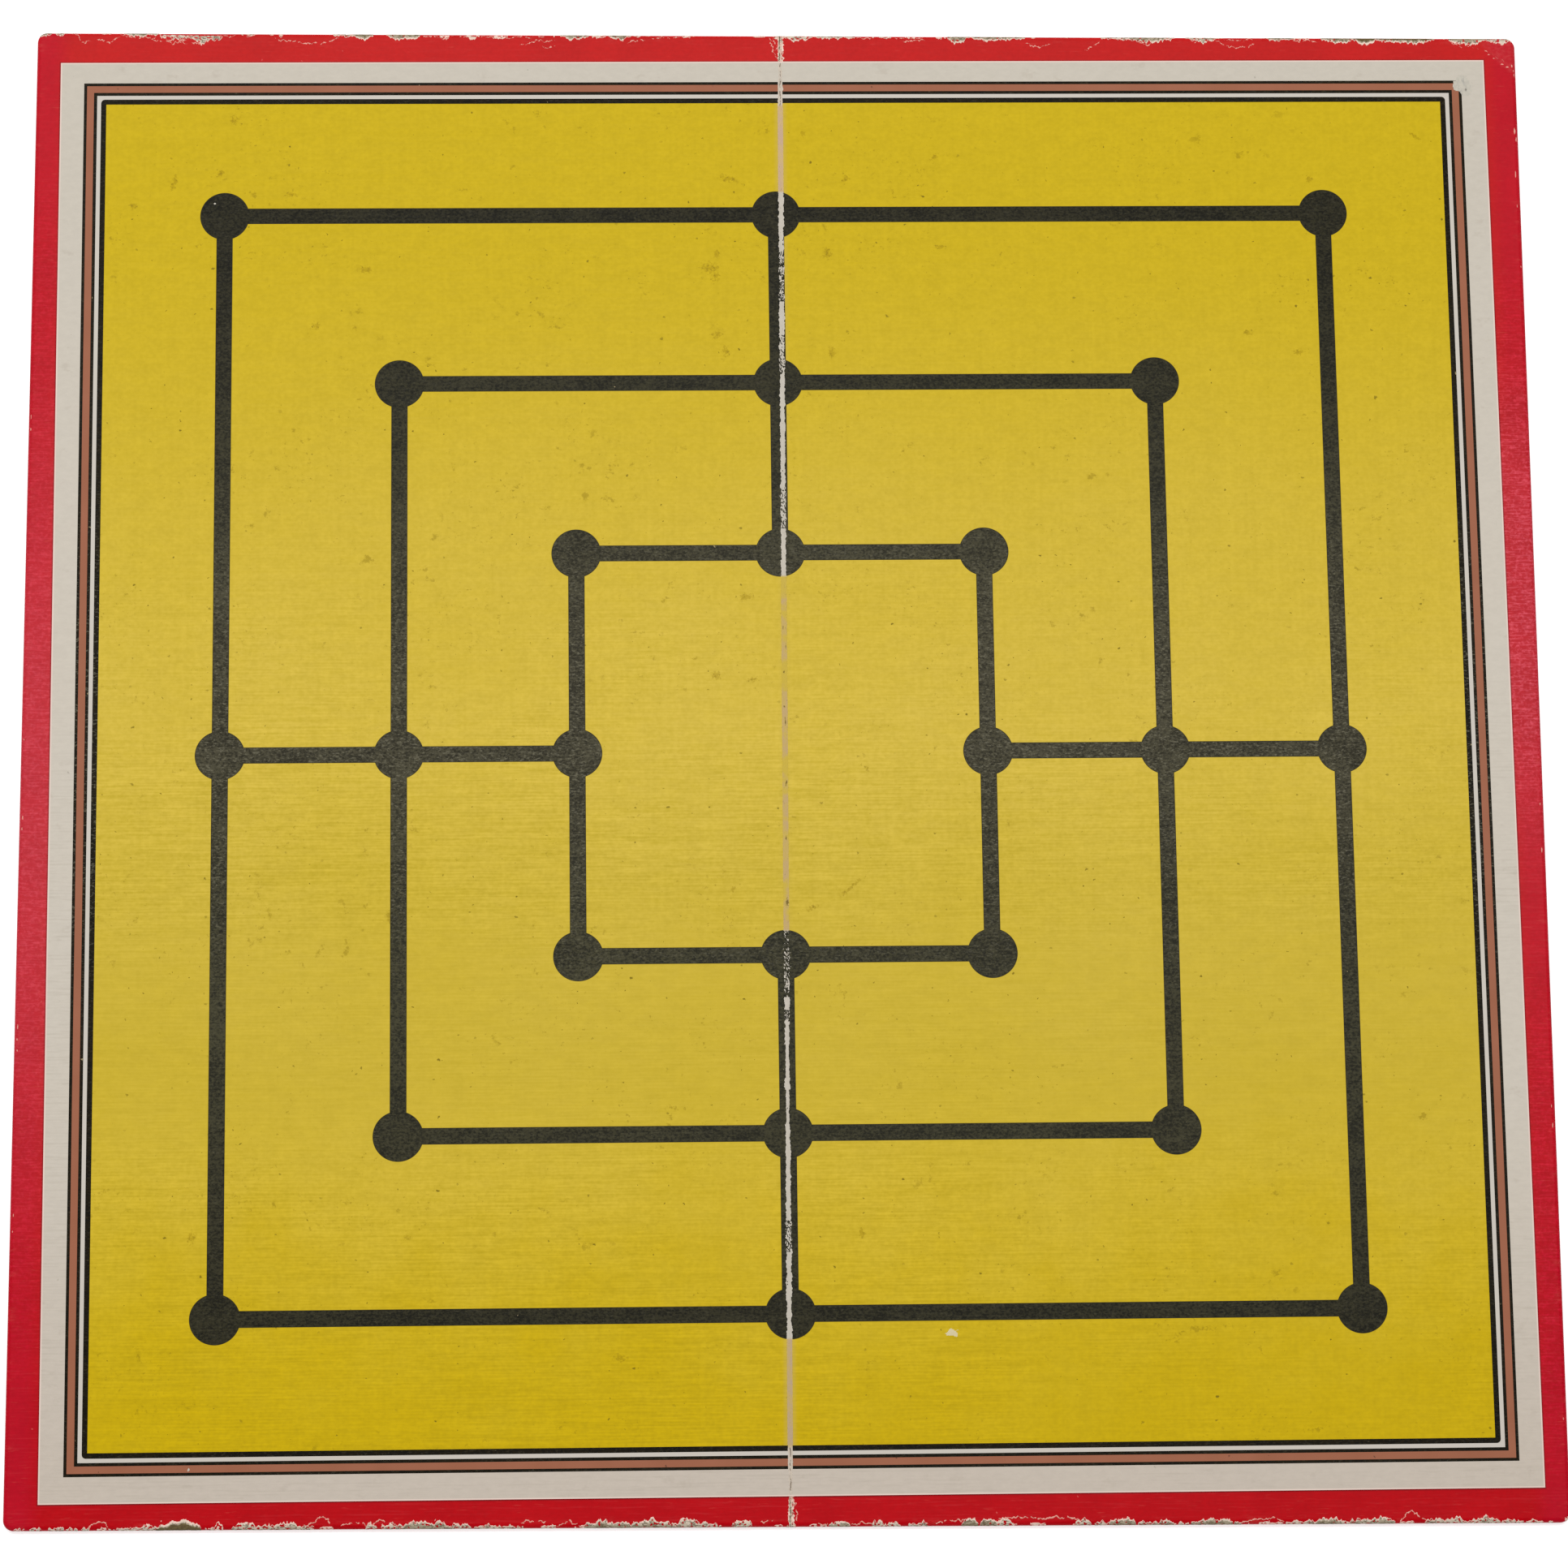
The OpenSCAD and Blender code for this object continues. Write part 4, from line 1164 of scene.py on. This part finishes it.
bare = scuffed_paper("scuffed_paper")
scuff("scuffed_corner", "right_half", (138.9, 139.3), (2.35, 2.7), bare, 3, rag=0.22,
      inside=on_corner, cells=44)
scuff("chip_near_square", "right_half", (31.5, -113.16), (1.6, 0.95), bare, 11, rag=0.45)
scuff("chip_far_dot", "left_half", (-113.72, 113.8), (0.27, 0.21), bare, 17)
scuff("chip_frame", "left_half", (-114.85, -138.65), (0.26, 0.42), bare, 23, rag=0.5)
for number, (x, y, across, along) in enumerate(SMALL_CHIPS):
    body = "left_half" if x < 0 else "right_half"
    scuff("small_chip_%02d" % number, body, (x, y), (across, along), cracked, 31 + 2 * number,
          tone=0.05, rag=0.5, cells=14)


def pale_floor():
    """Floor under the board. It looks white, and keeps the board's shadow."""
    bpy.ops.object.select_all(action="DESELECT")
    bpy.ops.mesh.primitive_plane_add(size=FLOOR_WIDTH, location=(0, 0, -FLOOR_DROP))
    floor = bpy.context.object
    floor.name = "floor"
    material = bpy.data.materials.new("floor_white")
    white = Nodes(material, "ShaderNodeOutputMaterial")
    matt = white.add("ShaderNodeBsdfDiffuse", {"Color": (0.8, 0.8, 0.8, 1)})
    rays = white.add("ShaderNodeLightPath")
    through = white.most(rays["Is Glossy Ray"], rays["Is Transmission Ray"])
    seen = white.most(rays["Is Camera Ray"], through)
    glow = white.add("ShaderNodeEmission", {"Strength": seen * FLOOR_GLOW})
    white.feed(white.end, {"Surface": white.add("ShaderNodeAddShader", {0: matt, 1: glow})})
    floor.data.materials.append(material)


def soft_light(name, place, size, power):
    bpy.ops.object.light_add(type="AREA", location=place)
    lamp = bpy.context.object
    lamp.name = name
    lamp.data.shape = "RECTANGLE"
    lamp.data.size, lamp.data.size_y = size
    lamp.data.energy = power
    aim = -Vector(place)
    lamp.rotation_euler = aim.to_track_quat("-Z", "Y").to_euler()


def pale_world():
    """White behind the board, and a softer light from all round on it."""
    world = bpy.data.worlds.new("studio")
    bpy.context.scene.world = world
    room = Nodes(world, "ShaderNodeOutputWorld")
    seen = room.add("ShaderNodeLightPath")["Is Camera Ray"]
    level = room.add("ShaderNodeMapRange", {"Value": seen, "To Min": ROOM_LIGHT, "To Max": 1.0})
    light = room.add("ShaderNodeBackground", {"Color": (1, 1, 1, 1), "Strength": level})
    room.feed(room.end, {"Surface": light})


pale_floor()
soft_light("key_light", *KEY_LIGHT)
soft_light("sheen_light", *SHEEN_LIGHT)
pale_world()
bpy.context.scene.view_settings.view_transform = "Standard"
